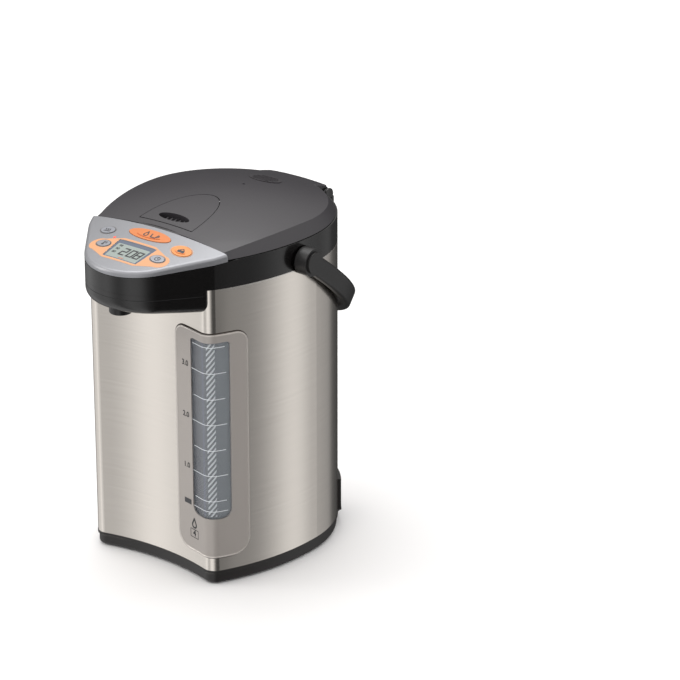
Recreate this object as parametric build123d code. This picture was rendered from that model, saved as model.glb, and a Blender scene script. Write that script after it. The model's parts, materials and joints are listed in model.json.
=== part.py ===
from build123d import *
from math import acos, atan2, cos, degrees, hypot, radians, sin, sqrt, tan
import os

# Electric thermo pot, 4 litre class, millimetres. The container stands on the Z axis,
# the spout and the control panel face -Y, and the lowest point is at z = 0.

# ---- body plan: round back, straighter sides, small front corners, hollow front
BACK_RADIUS = 93.6
SIDE_TURN = 2.0
CORNER_X = 59.5
CORNER_Y = -93.6
CORNER_RADIUS = 10.8
FRONT_HOLLOW = 8.0

# ---- body heights
FOOT_HEIGHT = 1.2
SKIN_LOW = 10.6
SKIN_HIGH = 270.0
RIM_HIGH = SKIN_HIGH + 23.5
SKIN_WALL = 0.8
COLLAR_WALL = 2.5
COLLAR_FLOOR = 2.5

# ---- spout nose and control panel
NOSE_TIP_Y = -155.5
NOSE_RADIUS = 52.0
NOSE_HALF = CORNER_X + 5.0
NOSE_LOW_FRONT = SKIN_HIGH - 18.2
NOSE_LOW_REAR = SKIN_HIGH - 22.0
NOSE_EDGE_RADIUS = 10.0
NOSE_WALL = 2.5
RIM_BREAK_Y = -80.0
RIM_TIP = RIM_HIGH - 9.0
PANEL_TOP = RIM_HIGH + 11.1
PANEL_SLOPE = 12.9
PANEL_CROWN_RADIUS = 500.0
PANEL_EDGE_RADIUS = 3.6
PANEL_WALL = 2.2
NOZZLE_Y = -138.0
NOZZLE_RADIUS = 9.75
NOZZLE_BORE = 6.0
NOZZLE_LOW = SKIN_HIGH - 24.0
NOZZLE_HIGH = SKIN_HIGH - 11.5

# ---- keys and display; a key is (x, distance from the panel's back edge, length, width)
KEYS = {
    "dispense_button": (0.0, 12.0, 44.0, 14.0),
    "unlock_button": (39.5, 18.5, 19.0, 13.0),
    "reboil_button": (-41.0, 18.5, 14.0, 10.0),
    "temperature_button": (-29.5, 37.5, 13.0, 9.0),
    "timer_button": (29.5, 37.5, 13.0, 9.0),
}
KEY_PROUD = 0.5
KEY_TRAVEL = 0.8
KEY_FLANGE = 0.9
KEY_STEM_RADIUS = 2.5
LCD_BACK = 39.5
LCD_LONG = 38.0
LCD_WIDE = 25.0
LAMP_X = -27.0
LAMP_BACK = 26.0
LAMP_RADIUS = 1.2
BOARD_DROP = 10.0
BOARD_THICK = 1.6
SWITCH_HIGH = 3.0
SWITCH_WIDE = 6.0

# ---- lid
LID_FRONT_Y = -88.0
LID_INSET = 1.4
LID_CHAMFER_SLOPE = 38.0
LID_CHAMFER_HIGH = 11.0
LID_WALL = 2.4
LID_LIP = 5.0
DOME_HIGH = RIM_HIGH + 20.0
DOME_RADIUS = 380.0
DOME_Y = -10.0
TRAY_LOW = SKIN_HIGH + 10.6
TRAY_INSET = 4.8
TRAY_WALL = 2.0
HINGE_Y = BACK_RADIUS + 2.4
HINGE_Z = RIM_HIGH - 4.5
HINGE_PIN_RADIUS = 2.0
HINGE_GAP = 0.7
DETACH_HALF = 12.0
DETACH_LOW = SKIN_HIGH + 7.0
DETACH_HIGH = DETACH_LOW + 4.5
DETACH_PROUD = 2.0
LID_OPEN = 80.0
HOUSING_HALF = 37.0
HOUSING_BACK = HINGE_Y + 11.0
HOUSING_LOW = SKIN_HIGH + 2.6
HOUSING_HIGH = RIM_HIGH + 2.5
HOUSING_WALL = 3.0
KNUCKLE_X = 28.0
KNUCKLE_WIDTH = 9.0
KNUCKLE_RADIUS = 4.5

# ---- lid lever and latch
FLAP_FRONT_Y = -79.6
FLAP_APEX_Y = -19.0
FLAP_HALF = 28.2
FLAP_THICK = 4.5
FLAP_GAP = 0.6
FLAP_PIN_Y = -23.0
FLAP_PIN_RADIUS = 1.2
FLAP_PIN_HALF = 12.0
FINGER_Y = -69.0
FINGER_LONG = 32.0
FINGER_WIDE = 11.0
FINGER_DEEP = 14.0
LATCH_HALF = 10.0
LATCH_LOW = RIM_HIGH - 5.5
LATCH_THICK = 3.0
LATCH_TIP_Y = -88.1
LATCH_END_Y = -60.0
TRAY_FRONT_GAP = 1.5
DOT_Y = 22.0
DOT_RADIUS = 1.3
VENT_Y = 51.0
VENT_LONG = 32.0
VENT_WIDE = 20.0
VENT_SLOTS = 5
VENT_SLOT_STEP = 3.2
VENT_SLOT_WIDE = 1.4
STEAM_RADIUS = 7.0
STEAM_WALL = 1.2

# ---- container
JACKET_GAP = 5.1
VACUUM_GAP = 5.2
VESSEL_WALL = 0.8
VESSEL_FLOOR = 55.4
VESSEL_SHOULDER = SKIN_HIGH - 9.3
NECK_STEP = 6.0
NECK_LOW = SKIN_HIGH - 1.3
NECK_HIGH = SKIN_HIGH + 6.0
NECK_FLANGE_STEP = 1.5
JACKET_RADIUS = BACK_RADIUS - JACKET_GAP
VESSEL_BORE = JACKET_RADIUS - VESSEL_WALL - VACUUM_GAP
JACKET_LOW = 49.5
STUB_RADIUS = 7.0
STUB_BORE = 5.5
STUB_LOW = 50.0
HEATER_STEP = 10.5
HEATER_HOLE = 26.0
BRACKET_LOW = 48.3
PLUG_LOW = SKIN_HIGH - 1.0
PLUG_GAP = 2.5
PLATE_WALL = 1.2

# ---- window round the front corner on the +X side
FRAME_X = 24.5
FRAME_Y = -73.5
FRAME_LOW = 26.0
FRAME_HIGH = SKIN_HIGH - 39.5
FRAME_PROUD = 1.3
LENS_X = 44.0
LENS_Y = -88.5
LENS_LOW = 62.2
LENS_HIGH = FRAME_HIGH - 7.5
LENS_PROUD = 0.8
LENS_THICK = 2.0

# ---- water path
PIPE_RADIUS = 7.0
PIPE_GAP = 3.4
PIPE_TURN = -57.6
PIPE_LOW = 46.0
PIPE_HIGH = SKIN_HIGH - 27.0
SPOUT_Z = SKIN_HIGH - 5.5
SPOUT_RADIUS = 5.0
SPOUT_WALL = 1.5
PIPE_CROSS_X = 33.0
PUMP_X = 20.0
PUMP_Y = -45.0
PUMP_RADIUS = 22.0
PUMP_LOW = 28.0
PUMP_HIGH = 42.0
PUMP_FLOOR = 3.0
OUTLET_Z = 34.0
OUTLET_RADIUS = 5.0
OUTLET_BORE = 3.0
MOTOR_RADIUS = 17.0
MOTOR_HIGH = 18.4
SHAFT_RADIUS = 1.5
WHEEL_RADIUS = 17.0
MAGNET_RADIUS = 14.5

# ---- bail handle
PIVOT_Y = -15.0
PIVOT_Z = SKIN_HIGH + 7.0
PIVOT_RADIUS = 4.0
PIVOT_HEAD_RADIUS = 9.3
PIVOT_HEAD_THICK = 1.8
BAIL_DROP = 37.7
BAIL_BEHIND = 14.0
BAIL_HALF = BACK_RADIUS + 3.2
BAIL_THICK = 9.0
BAIL_WIDE = 17.0
BAIL_BOSS = 12.0
BAIL_GAP = 0.9
BAIL_EDGE_RADIUS = 3.0

# ---- power receptacle
INLET_TURN = 50.0
INLET_WIDE = 38.0
INLET_LOW = 12.0
INLET_HIGH = 42.0
INLET_PROUD = 3.0
INLET_DEEP = 17.0
SOCKET_WIDE = 24.0
SOCKET_HIGH = 14.0
SOCKET_DEEP = 9.0
PRONG_RADIUS = 1.5
PRONG_APART = 12.0

# ---- base, screws and boards
BASE_INSET = 1.0
BASE_EDGE_RADIUS = 2.5
BASE_RIB = 4.5
BASE_PLUG = 5.0
COVER_HIGH = 4.5
FOOT_RADIUS = 9.0
FOOT_PLACES = [(52, -78), (-52, -78), (48, 58), (-48, 58)]
SCREW_BOSS = 5.0
SCREW_RADIUS = 1.5
SCREW_TURNS = (15, 90, 165)
POST_RADIUS = 3.0
POST_TURNS = (60, 180, 300)
BOARD_Z = 24.0
BOARD_SPAN = (-71, -25, -33, 49)
BOARD_EDGE = 5.0

# ---- clearances
RUN = 0.1
SLIP = 0.3
FIT = 0.06
SEAM = 0.4
FAR = 250.0
TALL = 2 * FAR

# ---- worked out from the sizes above
LID_BACK = BACK_RADIUS - LID_INSET
NECK_BORE = VESSEL_BORE - NECK_STEP
NECK_FLANGE = VESSEL_BORE - NECK_FLANGE_STEP
HEATER_RADIUS = VESSEL_BORE - HEATER_STEP
PIPE_OUT = JACKET_RADIUS + PIPE_GAP + PIPE_RADIUS
PIPE_X = PIPE_OUT * cos(radians(PIPE_TURN))
PIPE_Y = PIPE_OUT * sin(radians(PIPE_TURN))
BAIL_REACH = (BACK_RADIUS + BAIL_BEHIND - PIVOT_Y) / cos(radians(BAIL_DROP))
LID_LOW = RIM_HIGH + SEAM
HINGE_ROOM = hypot(HINGE_Y - LID_BACK, LID_LOW - HINGE_Z) + HINGE_GAP
HOUSING_ROOM = HOUSING_HALF - HOUSING_WALL
FLAP_ROOM = FLAP_THICK + 2.0
POST_RING = PUMP_RADIUS + POST_RADIUS + 1.0
OUTLET_TURN = degrees(atan2(PIPE_Y - PUMP_Y, PIPE_X - PUMP_X))
INLET_MID = (INLET_LOW + INLET_HIGH) / 2
NECK_OUTER = NECK_BORE + VESSEL_WALL
SKIRT_HALF = CORNER_X - 1.5
SCREW_RING = BACK_RADIUS - BASE_RIB - SCREW_BOSS + 1.0


def box(x0, x1, y0, y1, z0, z1):
    """A block between two corners."""
    return Pos((x0 + x1) / 2, (y0 + y1) / 2, (z0 + z1) / 2) * Box(x1 - x0, y1 - y0, z1 - z0)


def disc(radius, z0, z1, x=0.0, y=0.0):
    """An upright cylinder."""
    return Pos(x, y, (z0 + z1) / 2) * Cylinder(radius, z1 - z0)


def tube(outer, inner, z0, z1, x=0.0, y=0.0):
    """An upright tube."""
    return disc(outer, z0, z1, x, y) - disc(inner, z0 - 1, z1 + 1, x, y)


def rod_x(radius, x0, x1, y, z):
    """A cylinder along X."""
    return Pos((x0 + x1) / 2, y, z) * Rot(0, 90, 0) * Cylinder(radius, abs(x1 - x0))


def prism(sketch, z0, z1):
    """A flat outline raised from z0 to z1."""
    return Pos(0, 0, z0) * extrude(sketch, z1 - z0)


def lathe(*points):
    """A closed profile of (radius, height) turned about the Z axis."""
    return revolve(make_face(Plane.XZ * Polyline(*points, close=True)), Axis.Z)


def side_cut(*points):
    """A closed outline of (y, z) carried right across the pot."""
    return extrude(make_face(Plane.YZ * Polyline(*points, close=True)), 200, both=True)


def piped(path, outer, inner):
    """A hose of round section along a path."""
    ring = Plane(origin=path @ 0, z_dir=path % 0) * (Circle(outer) - Circle(inner))
    return sweep(ring, path)


def arc(centre, radius, start, end):
    """An arc about a centre, from one direction to another, in degrees."""
    return CenterArc(centre, radius, start, end - start)


# ---- body outline, worked out once from the driving sizes
FRONT_K = FRONT_HOLLOW - CORNER_RADIUS
FRONT_RADIUS = (CORNER_X ** 2 + FRONT_K ** 2 - CORNER_RADIUS ** 2) / (2 * FRONT_HOLLOW)
FRONT_Y = CORNER_Y - CORNER_RADIUS + FRONT_HOLLOW
FRONT_CENTRE_Y = FRONT_Y - FRONT_RADIUS
TURN = radians(SIDE_TURN)
SPAN = BACK_RADIUS - CORNER_RADIUS
ALONG = CORNER_X * cos(TURN) + CORNER_Y * sin(TURN)
SIDE_SHIFT = (SPAN ** 2 - CORNER_X ** 2 - CORNER_Y ** 2) / (2 * (ALONG - SPAN))
SIDE_RADIUS = SIDE_SHIFT + BACK_RADIUS
SIDE_CENTRE = (-SIDE_SHIFT * cos(TURN), -SIDE_SHIFT * sin(TURN))
SIDE_END = degrees(atan2(CORNER_Y - SIDE_CENTRE[1], CORNER_X - SIDE_CENTRE[0]))
FRONT_TURN = degrees(atan2(CORNER_X, CORNER_Y - FRONT_CENTRE_Y))


def outline(inset):
    """The pot's plan, moved inwards by inset; every stretch is an arc."""
    corner = CORNER_RADIUS - inset
    side = SIDE_RADIUS - inset
    mirrored = (-SIDE_CENTRE[0], SIDE_CENTRE[1])
    edges = [
        arc((0, 0), BACK_RADIUS - inset, SIDE_TURN, 180 - SIDE_TURN),
        arc(mirrored, side, 180 - SIDE_TURN, 180 - SIDE_END),
        arc((-CORNER_X, CORNER_Y), corner, 180 - SIDE_END, 270 + FRONT_TURN),
        arc((0, FRONT_CENTRE_Y), FRONT_RADIUS + inset, 90 + FRONT_TURN, 90 - FRONT_TURN),
        arc((CORNER_X, CORNER_Y), corner, -90 - FRONT_TURN, SIDE_END),
        arc(SIDE_CENTRE, side, SIDE_END, SIDE_TURN),
    ]
    return make_face(edges)


NOSE_CENTRE_Y = NOSE_TIP_Y + NOSE_RADIUS
FLANK_RUN = hypot(CORNER_X, CORNER_Y - NOSE_CENTRE_Y)
FLANK_RISE = degrees(atan2(CORNER_Y - NOSE_CENTRE_Y, CORNER_X))
FLANK = degrees(acos((NOSE_RADIUS - CORNER_RADIUS) / FLANK_RUN)) - FLANK_RISE


def collar_outline(inset):
    """The body's plan with a round nose, whose flanks run on round the front corners."""
    nose = NOSE_RADIUS - inset
    corner = CORNER_RADIUS - inset
    turn = radians(FLANK)
    touch = (nose * cos(turn), NOSE_CENTRE_Y - nose * sin(turn))
    end = (CORNER_X + corner * cos(turn), CORNER_Y - corner * sin(turn))
    right = [touch, end, (CORNER_X, CORNER_Y), (CORNER_X, 0)]
    path = right + [(-x, y) for x, y in reversed(right)]
    edges = [Line(here, there) for here, there in zip(path, path[1:])]
    edges.append(arc((0, NOSE_CENTRE_Y), nose, 180 + FLANK, 360 - FLANK))
    return outline(inset) + make_face(edges)


def nose_outline(inset, root):
    """The front part of the collar's plan, cut across at root."""
    return collar_outline(inset) & Pos(0, root - FAR) * Rectangle(2 * FAR, 2 * FAR)


RIM_SLOPE = (RIM_HIGH - RIM_TIP) / (RIM_BREAK_Y - NOSE_TIP_Y)


def under_rim(lift=0.0):
    """Everything below the collar's rim, which dips towards the nose."""
    high = RIM_HIGH + lift
    dip = high - RIM_SLOPE * (FAR + RIM_BREAK_Y)
    return side_cut((-FAR, 0), (FAR, 0), (FAR, high), (RIM_BREAK_Y, high), (-FAR, dip))


def dome(drop=0.0):
    """The ball whose top is the lid's crown."""
    return Pos(0, DOME_Y, DOME_HIGH - DOME_RADIUS) * Rot(0, 90, 0) * Sphere(DOME_RADIUS - drop)


def dome_z(x, y):
    """Height of the lid's crown at a place."""
    return DOME_HIGH - DOME_RADIUS + sqrt(DOME_RADIUS ** 2 - x ** 2 - (y - DOME_Y) ** 2)


SLOPE = radians(PANEL_SLOPE)
PANEL = Plane(origin=(0, LID_FRONT_Y, PANEL_TOP), x_dir=(1, 0, 0), z_dir=(0, -sin(SLOPE), cos(SLOPE)))


def crown(drop=0.0):
    """The long cylinder whose top is the control panel."""
    bar = Rot(90, 0, 0) * Cylinder(PANEL_CROWN_RADIUS - drop, 4 * FAR)
    return PANEL * Pos(0, 0, -PANEL_CROWN_RADIUS) * bar


# ================= container =================

def inner_vessel():
    low = VESSEL_FLOOR - VESSEL_WALL
    wall = VESSEL_WALL
    body = lathe(
        (0, low), (VESSEL_BORE + wall, low), (VESSEL_BORE + wall, VESSEL_SHOULDER + SLIP),
        (NECK_OUTER, NECK_LOW + SLIP), (NECK_OUTER, NECK_HIGH - wall),
        (NECK_FLANGE, NECK_HIGH - wall), (NECK_FLANGE, NECK_HIGH), (NECK_BORE, NECK_HIGH),
        (NECK_BORE, NECK_LOW), (VESSEL_BORE, VESSEL_SHOULDER), (VESSEL_BORE, VESSEL_FLOOR),
        (0, VESSEL_FLOOR))
    outlet = tube(STUB_RADIUS, STUB_BORE, STUB_LOW, VESSEL_FLOOR, PUMP_X, PUMP_Y)
    return body - disc(STUB_BORE, low - 1, VESSEL_FLOOR + 1, PUMP_X, PUMP_Y) + outlet


def vacuum_jacket():
    lip = VESSEL_BORE + VESSEL_WALL + RUN
    wall = VESSEL_WALL
    outer = JACKET_RADIUS
    neck = NECK_BORE + wall + 2 * SLIP
    return lathe(
        (lip, JACKET_LOW), (outer, JACKET_LOW), (outer, VESSEL_SHOULDER), (neck + wall, NECK_LOW),
        (neck, NECK_LOW), (outer - wall, VESSEL_SHOULDER - wall / 2), (outer - wall, JACKET_LOW + wall),
        (lip + wall, JACKET_LOW + wall), (lip + wall, JACKET_LOW + 10), (lip, JACKET_LOW + 10))


def vessel_rim_seal():
    floor = SKIN_HIGH + COLLAR_FLOOR
    return tube(NECK_FLANGE, NECK_OUTER + SLIP, floor, NECK_HIGH - VESSEL_WALL)


# ================= outer body =================

def corner_patch(x_from, y_to, low, high, r_low, r_high, outer, inner):
    """A curved panel that follows the body round its +X front corner."""
    band = prism(outline(outer), low, high) - prism(outline(inner), low - 1, high + 1)
    mid = (low + high) / 2
    front = Pos(x_from + FAR / 2, mid) * Rectangle(FAR, high - low)
    front = fillet(front.vertices().sort_by_distance((x_from, low))[0], r_low)
    front = fillet(front.vertices().sort_by_distance((x_from, high))[0], r_high)
    side = Pos(y_to - FAR / 2, mid) * Rectangle(FAR, high - low)
    side = fillet(side.vertices().sort_by_distance((y_to, low))[0], r_low)
    side = fillet(side.vertices().sort_by_distance((y_to, high))[0], r_high)
    band = band & extrude(Plane.XZ * front, FAR, both=True)
    return band & extrude(Plane.YZ * side, FAR, both=True)


def lens_patch(grow, outer, inner):
    """The window's own shape, grown on every side."""
    return corner_patch(LENS_X - grow, LENS_Y + grow, LENS_LOW - grow, LENS_HIGH + grow,
                        8.0 + grow, 3.0 + grow, outer, inner)


def body_shell():
    skin = prism(outline(0), SKIN_LOW, SKIN_HIGH) - prism(outline(SKIN_WALL), 0, TALL)
    skin -= lens_patch(SLIP, -2 * LENS_PROUD, LENS_THICK)
    skin -= pipe_room()
    return skin - inlet_block(SLIP)


def pipe_room():
    """The notch in the skin's top edge where the spout pipe passes into the nose."""
    low = SPOUT_Z - SPOUT_RADIUS - 3
    half = SPOUT_RADIUS + 11
    return box(PIPE_CROSS_X - half, PIPE_CROSS_X + half, -FAR, PIPE_Y - PIPE_RADIUS, low, SKIN_HIGH + 1)


def base_trim():
    foot = prism(outline(BASE_INSET), FOOT_HEIGHT, SKIN_LOW)
    foot = fillet(foot.edges().group_by(Axis.Z)[0], BASE_EDGE_RADIUS)
    plug = prism(outline(SKIN_WALL + RUN), SKIN_LOW, SKIN_LOW + BASE_PLUG)
    ring = foot + plug - prism(outline(BASE_RIB), 0, TALL)
    for x, y in screw_places():
        boss = disc(SCREW_BOSS, COVER_HIGH + RUN, SKIN_LOW + BASE_PLUG, x, y)
        ring += boss & prism(outline(BASE_INSET + 1), 0, TALL)
        ring -= disc(SCREW_RADIUS + RUN, 0, SKIN_LOW + BASE_PLUG - 1.6, x, y)
    return ring - inlet_block(SLIP)


def screw_places():
    places = [(SCREW_RING * cos(radians(t)), SCREW_RING * sin(radians(t))) for t in SCREW_TURNS]
    return places + [(0, FRONT_Y + BASE_RIB + SCREW_BOSS - 1)]


def post_places():
    turns = [radians(turn) for turn in POST_TURNS]
    return [(PUMP_X + POST_RING * cos(t), PUMP_Y + POST_RING * sin(t)) for t in turns]


def board_posts():
    x0, x1, y0, y1 = BOARD_SPAN
    return [(x, y) for x in (x0 + BOARD_EDGE, x1 - BOARD_EDGE) for y in (y0 + BOARD_EDGE, y1 - BOARD_EDGE)]


def bottom_cover():
    cover = prism(outline(BASE_RIB + SLIP), FOOT_HEIGHT, COVER_HIGH)
    cover += tube(MOTOR_RADIUS + 2.5, MOTOR_RADIUS + RUN, COVER_HIGH, COVER_HIGH + 8, PUMP_X, PUMP_Y)
    for x, y in post_places():
        cover += disc(POST_RADIUS, COVER_HIGH, PUMP_LOW - PUMP_FLOOR, x, y)
    for x, y in board_posts():
        cover += disc(POST_RADIUS, COVER_HIGH, BOARD_Z, x, y)
    for x, y in screw_places():
        cover -= disc(SCREW_RADIUS + SLIP, 0, TALL, x, y)
        cover -= disc(SCREW_RADIUS + 2, 0, FOOT_HEIGHT + 1.2, x, y)
    return cover - inlet_block(SLIP)


def base_screws():
    screws = []
    for x, y in screw_places():
        head = disc(SCREW_RADIUS + 1.6, FOOT_HEIGHT + 0.2, FOOT_HEIGHT + 1.2, x, y)
        screws.append(head + disc(SCREW_RADIUS, FOOT_HEIGHT + 1, SKIN_LOW + BASE_PLUG - 2, x, y))
    return Compound(children=screws)


def rubber_feet():
    return Compound(children=[disc(FOOT_RADIUS, 0, FOOT_HEIGHT, x, y) for x, y in FOOT_PLACES])


def window_frame():
    plate = corner_patch(FRAME_X, FRAME_Y, FRAME_LOW, FRAME_HIGH, 15.0, 10.0, -FRAME_PROUD, -0.02)
    return plate - lens_patch(RUN, -2 * FRAME_PROUD, 2)


def window_lens():
    return lens_patch(0, -LENS_PROUD, LENS_THICK - LENS_PROUD)


def window_backing():
    return lens_patch(4.0, LENS_THICK - LENS_PROUD + RUN, LENS_THICK - LENS_PROUD + RUN + 1.5)


# ================= collar and nose =================

def upper_collar():
    floor = SKIN_HIGH + COLLAR_FLOOR
    body = prism(collar_outline(0), SKIN_HIGH, TALL) & under_rim()
    lid_room = box(-FAR, FAR, LID_FRONT_Y, FAR, 0, TALL)
    body -= prism(outline(COLLAR_WALL), floor, TALL) & lid_room
    body -= prism(nose_outline(COLLAR_WALL, LID_FRONT_Y + 1), floor, TALL)
    body -= disc(NECK_OUTER + SLIP, 0, TALL)
    body -= prism(nose_outline(3 * COLLAR_WALL, FRONT_Y - 8), 0, TALL)
    body -= knuckle_room()
    for side in (-1, 1):
        body -= rod_x(PIVOT_RADIUS + RUN, side * CORNER_X, side * FAR, PIVOT_Y, PIVOT_Z)
    return body


def knuckle_room():
    """Space in the collar's back wall for the lid's two hinge knuckles."""
    half = KNUCKLE_WIDTH / 2 + 1
    low = HINGE_Z - KNUCKLE_RADIUS - 4
    cuts = [box(x - half, x + half, BACK_RADIUS - 16, HINGE_Y, low, TALL) for x in (-KNUCKLE_X, KNUCKLE_X)]
    return cuts[0] + cuts[1]


def hinge_housing():
    half = HOUSING_HALF
    block = box(-half, half, BACK_RADIUS - 25, HOUSING_BACK, HOUSING_LOW, HOUSING_HIGH)
    block = fillet(block.edges().filter_by(Axis.Z).sort_by(Axis.Y)[-2:], 9.0)
    block -= prism(outline(-RUN), 0, TALL)
    block -= rod_x(HINGE_ROOM, -HOUSING_ROOM, HOUSING_ROOM, HINGE_Y, HINGE_Z)
    low = swung(LID_BACK, LID_LOW)
    high = swung(LID_BACK - LID_CHAMFER_HIGH * tan(radians(LID_CHAMFER_SLOPE)), LID_LOW + LID_CHAMFER_HIGH)
    block -= side_cut((HINGE_Y, HINGE_Z), (low[0] + HINGE_GAP, low[1]), (high[0] + HINGE_GAP, high[1]),
                      (HINGE_Y - HOUSING_BACK, high[1]))
    block -= knuckle_room()
    block -= rod_x(HINGE_PIN_RADIUS, -half + 1.4, half - 1.4, HINGE_Y, HINGE_Z)
    tab = DETACH_HALF + SLIP
    return block - box(-tab, tab, HINGE_Y, FAR, DETACH_LOW - SLIP, DETACH_HIGH + SLIP)


def swung(y, z):
    """Where a point of the lid is when the lid stands fully open."""
    turn = radians(LID_OPEN)
    dy, dz = y - HINGE_Y, z - HINGE_Z
    return HINGE_Y + dy * cos(turn) + dz * sin(turn), HINGE_Z - dy * sin(turn) + dz * cos(turn)


def lid_detach_lever():
    """A push tab low in the housing's back that frees the lid from its pin."""
    tab = box(-DETACH_HALF, DETACH_HALF, HINGE_Y + 3, HOUSING_BACK + DETACH_PROUD, DETACH_LOW, DETACH_HIGH)
    return fillet(tab.edges().filter_by(Axis.Z).sort_by(Axis.Y)[-2:], 3.0)


def lid_hinge_pin():
    return rod_x(HINGE_PIN_RADIUS, -HOUSING_HALF + 1.5, HOUSING_HALF - 1.5, HINGE_Y, HINGE_Z)


def nose_block(inset):
    """The spout nose below the collar, its lower edge well rounded."""
    half = NOSE_HALF - inset
    plan = nose_outline(inset, FRONT_Y + 4) & Rectangle(2 * half, 2 * FAR)
    block = prism(plan, NOSE_LOW_REAR - 10, SKIN_HIGH - RUN + 2 * inset)
    slope = (NOSE_LOW_FRONT - NOSE_LOW_REAR) / (FRONT_Y - NOSE_TIP_Y - NOSE_EDGE_RADIUS)
    low = NOSE_LOW_REAR + inset
    block &= side_cut((FAR, low - slope * (FAR - FRONT_Y)), (FAR, FAR * 2), (-FAR, FAR * 2),
                      (-FAR, low + slope * (FAR + FRONT_Y)))
    under = block.faces().sort_by(Axis.Z)[0]
    edges = [e for e in under.edges() if (e @ 0.5).Y < FRONT_Y + 3]
    return fillet(edges, NOSE_EDGE_RADIUS - inset)


def nose_cover():
    shell = nose_block(0) - nose_block(NOSE_WALL)
    shell -= prism(outline(-RUN), 0, TALL)
    return shell - disc(NOZZLE_RADIUS + RUN, 0, TALL, 0, NOZZLE_Y)


def spout_nozzle():
    body = disc(NOZZLE_RADIUS, NOZZLE_LOW, NOZZLE_HIGH, 0, NOZZLE_Y)
    body = fillet(body.edges().sort_by(Axis.Z)[0], 1.2)
    return body - disc(NOZZLE_BORE, 0, TALL, 0, NOZZLE_Y)


def anti_spill_valve():
    """A short valve body over the nozzle, with a side inlet towards the spout pipe."""
    body = disc(NOZZLE_RADIUS - 1, NOZZLE_HIGH, SPOUT_Z + 7.5, 0, NOZZLE_Y)
    body -= disc(NOZZLE_BORE, 0, SPOUT_Z + 5.5, 0, NOZZLE_Y)
    inlet = Rot(90, 0, 0) * Cylinder(SPOUT_RADIUS - SPOUT_WALL, 14)
    return body - Pos(0, NOZZLE_Y + NOZZLE_RADIUS, SPOUT_Z) * inlet


def spout_pipe():
    end = NOZZLE_Y + NOZZLE_RADIUS - 1
    route = FilletPolyline(
        (PIPE_X, PIPE_Y, PIPE_HIGH), (PIPE_X, PIPE_Y, SPOUT_Z), (0, FRONT_Y - 16, SPOUT_Z),
        (0, end + SLIP, SPOUT_Z), radius=9.0)
    return piped(route, SPOUT_RADIUS, SPOUT_RADIUS - SPOUT_WALL)


def level_pipe():
    return tube(PIPE_RADIUS, PIPE_RADIUS - 1.2, PIPE_LOW, PIPE_HIGH, PIPE_X, PIPE_Y)


# ================= control panel =================

def panel_block(inset, drop, lift):
    """The space under the panel's crown, inside the nose's plan and above the rim."""
    block = prism(nose_outline(inset, LID_FRONT_Y - SEAM - inset), SKIN_HIGH, TALL) & crown(drop)
    return block - under_rim(lift)


def control_panel():
    block = panel_block(0, 0, SEAM)
    top = block.faces().filter_by(GeomType.CYLINDER).sort_by(Axis.Z)[-1]
    back = LID_FRONT_Y - SEAM
    edges = [edge for edge in top.edges() if (edge @ 0.5).Y < back - SEAM]
    shell = fillet(edges, PANEL_EDGE_RADIUS)
    shell -= prism(nose_outline(PANEL_WALL, back - PANEL_WALL), 0, TALL) & crown(PANEL_WALL)
    skirt = box(-SKIRT_HALF, SKIRT_HALF, back - PANEL_WALL, back, SKIN_HIGH + COLLAR_FLOOR + 1, RIM_HIGH + 2)
    shell += skirt & crown(PANEL_WALL / 2)
    slot = LATCH_HALF + SLIP
    slot_low = LATCH_LOW - SLIP
    slot_high = LATCH_LOW + LATCH_THICK + SLIP
    shell -= box(-slot, slot, back - 2 * PANEL_WALL, back + 1, slot_low, slot_high)
    for name in KEYS:
        shell -= key_prism(name, SLIP, -2 * PANEL_WALL, 5)
    shell -= PANEL * Pos(0, 0, -8) * extrude(lamp_shape(RUN), 12)
    return shell - PANEL * Pos(0, 0, -8) * extrude(lcd_shape(RUN), 12)


def key_drop(name):
    """How far the crown has fallen at a key."""
    return KEYS[name][0] ** 2 / (2 * PANEL_CROWN_RADIUS)


def key_prism(name, grow, low, high):
    """A key's oval, raised square to the panel."""
    x, back, length, width = KEYS[name]
    shape = Pos(x, -back) * Ellipse(length / 2 + grow, width / 2 + grow)
    return PANEL * Pos(0, 0, low - key_drop(name)) * extrude(shape, high - low)


def key(name):
    """A key cap with a retaining flange and a stem that ends above its switch."""
    under = -PANEL_WALL - SLIP
    cap = key_prism(name, 0, under - 1.0, 4) & crown(-KEY_PROUD)
    flange = key_prism(name, KEY_FLANGE, under - 1.0, 0) & crown(-under)
    x, back, length, width = KEYS[name]
    stem_low = -BOARD_DROP + SWITCH_HIGH + KEY_TRAVEL + RUN
    stem_high = under - 0.9 - key_drop(name)
    stem = PANEL * Pos(x, -back, stem_low) * extrude(Circle(KEY_STEM_RADIUS), stem_high - stem_low)
    return cap + flange + stem


def lcd_shape(grow):
    """The display pane, a little wider at its back edge."""
    half = LCD_LONG / 2 + grow
    deep = LCD_WIDE / 2 + grow
    pane = Polyline((-half - 1, deep), (half + 1, deep), (half - 1, -deep), (-half + 1, -deep), close=True)
    return Pos(0, -LCD_BACK) * make_face(pane)


def lcd_window():
    pane = PANEL * Pos(0, 0, -PANEL_WALL - 0.4) * extrude(lcd_shape(0), PANEL_WALL + 4)
    return pane & crown(0.2)


def lcd_module():
    low = -BOARD_DROP
    high = -PANEL_WALL - 0.5
    return PANEL * Pos(0, -LCD_BACK, (low + high) / 2) * Box(LCD_LONG - 6, LCD_WIDE - 3, high - low)


def control_board():
    """A board under the panel that follows the nose."""
    shape = nose_outline(COLLAR_WALL + 2.5, LID_FRONT_Y - SEAM - PANEL_WALL - 1)
    slab = PANEL * Pos(0, 0, -BOARD_DROP - BOARD_THICK / 2) * Box(FAR, FAR, BOARD_THICK)
    return slab & prism(shape, 0, TALL)


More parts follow.
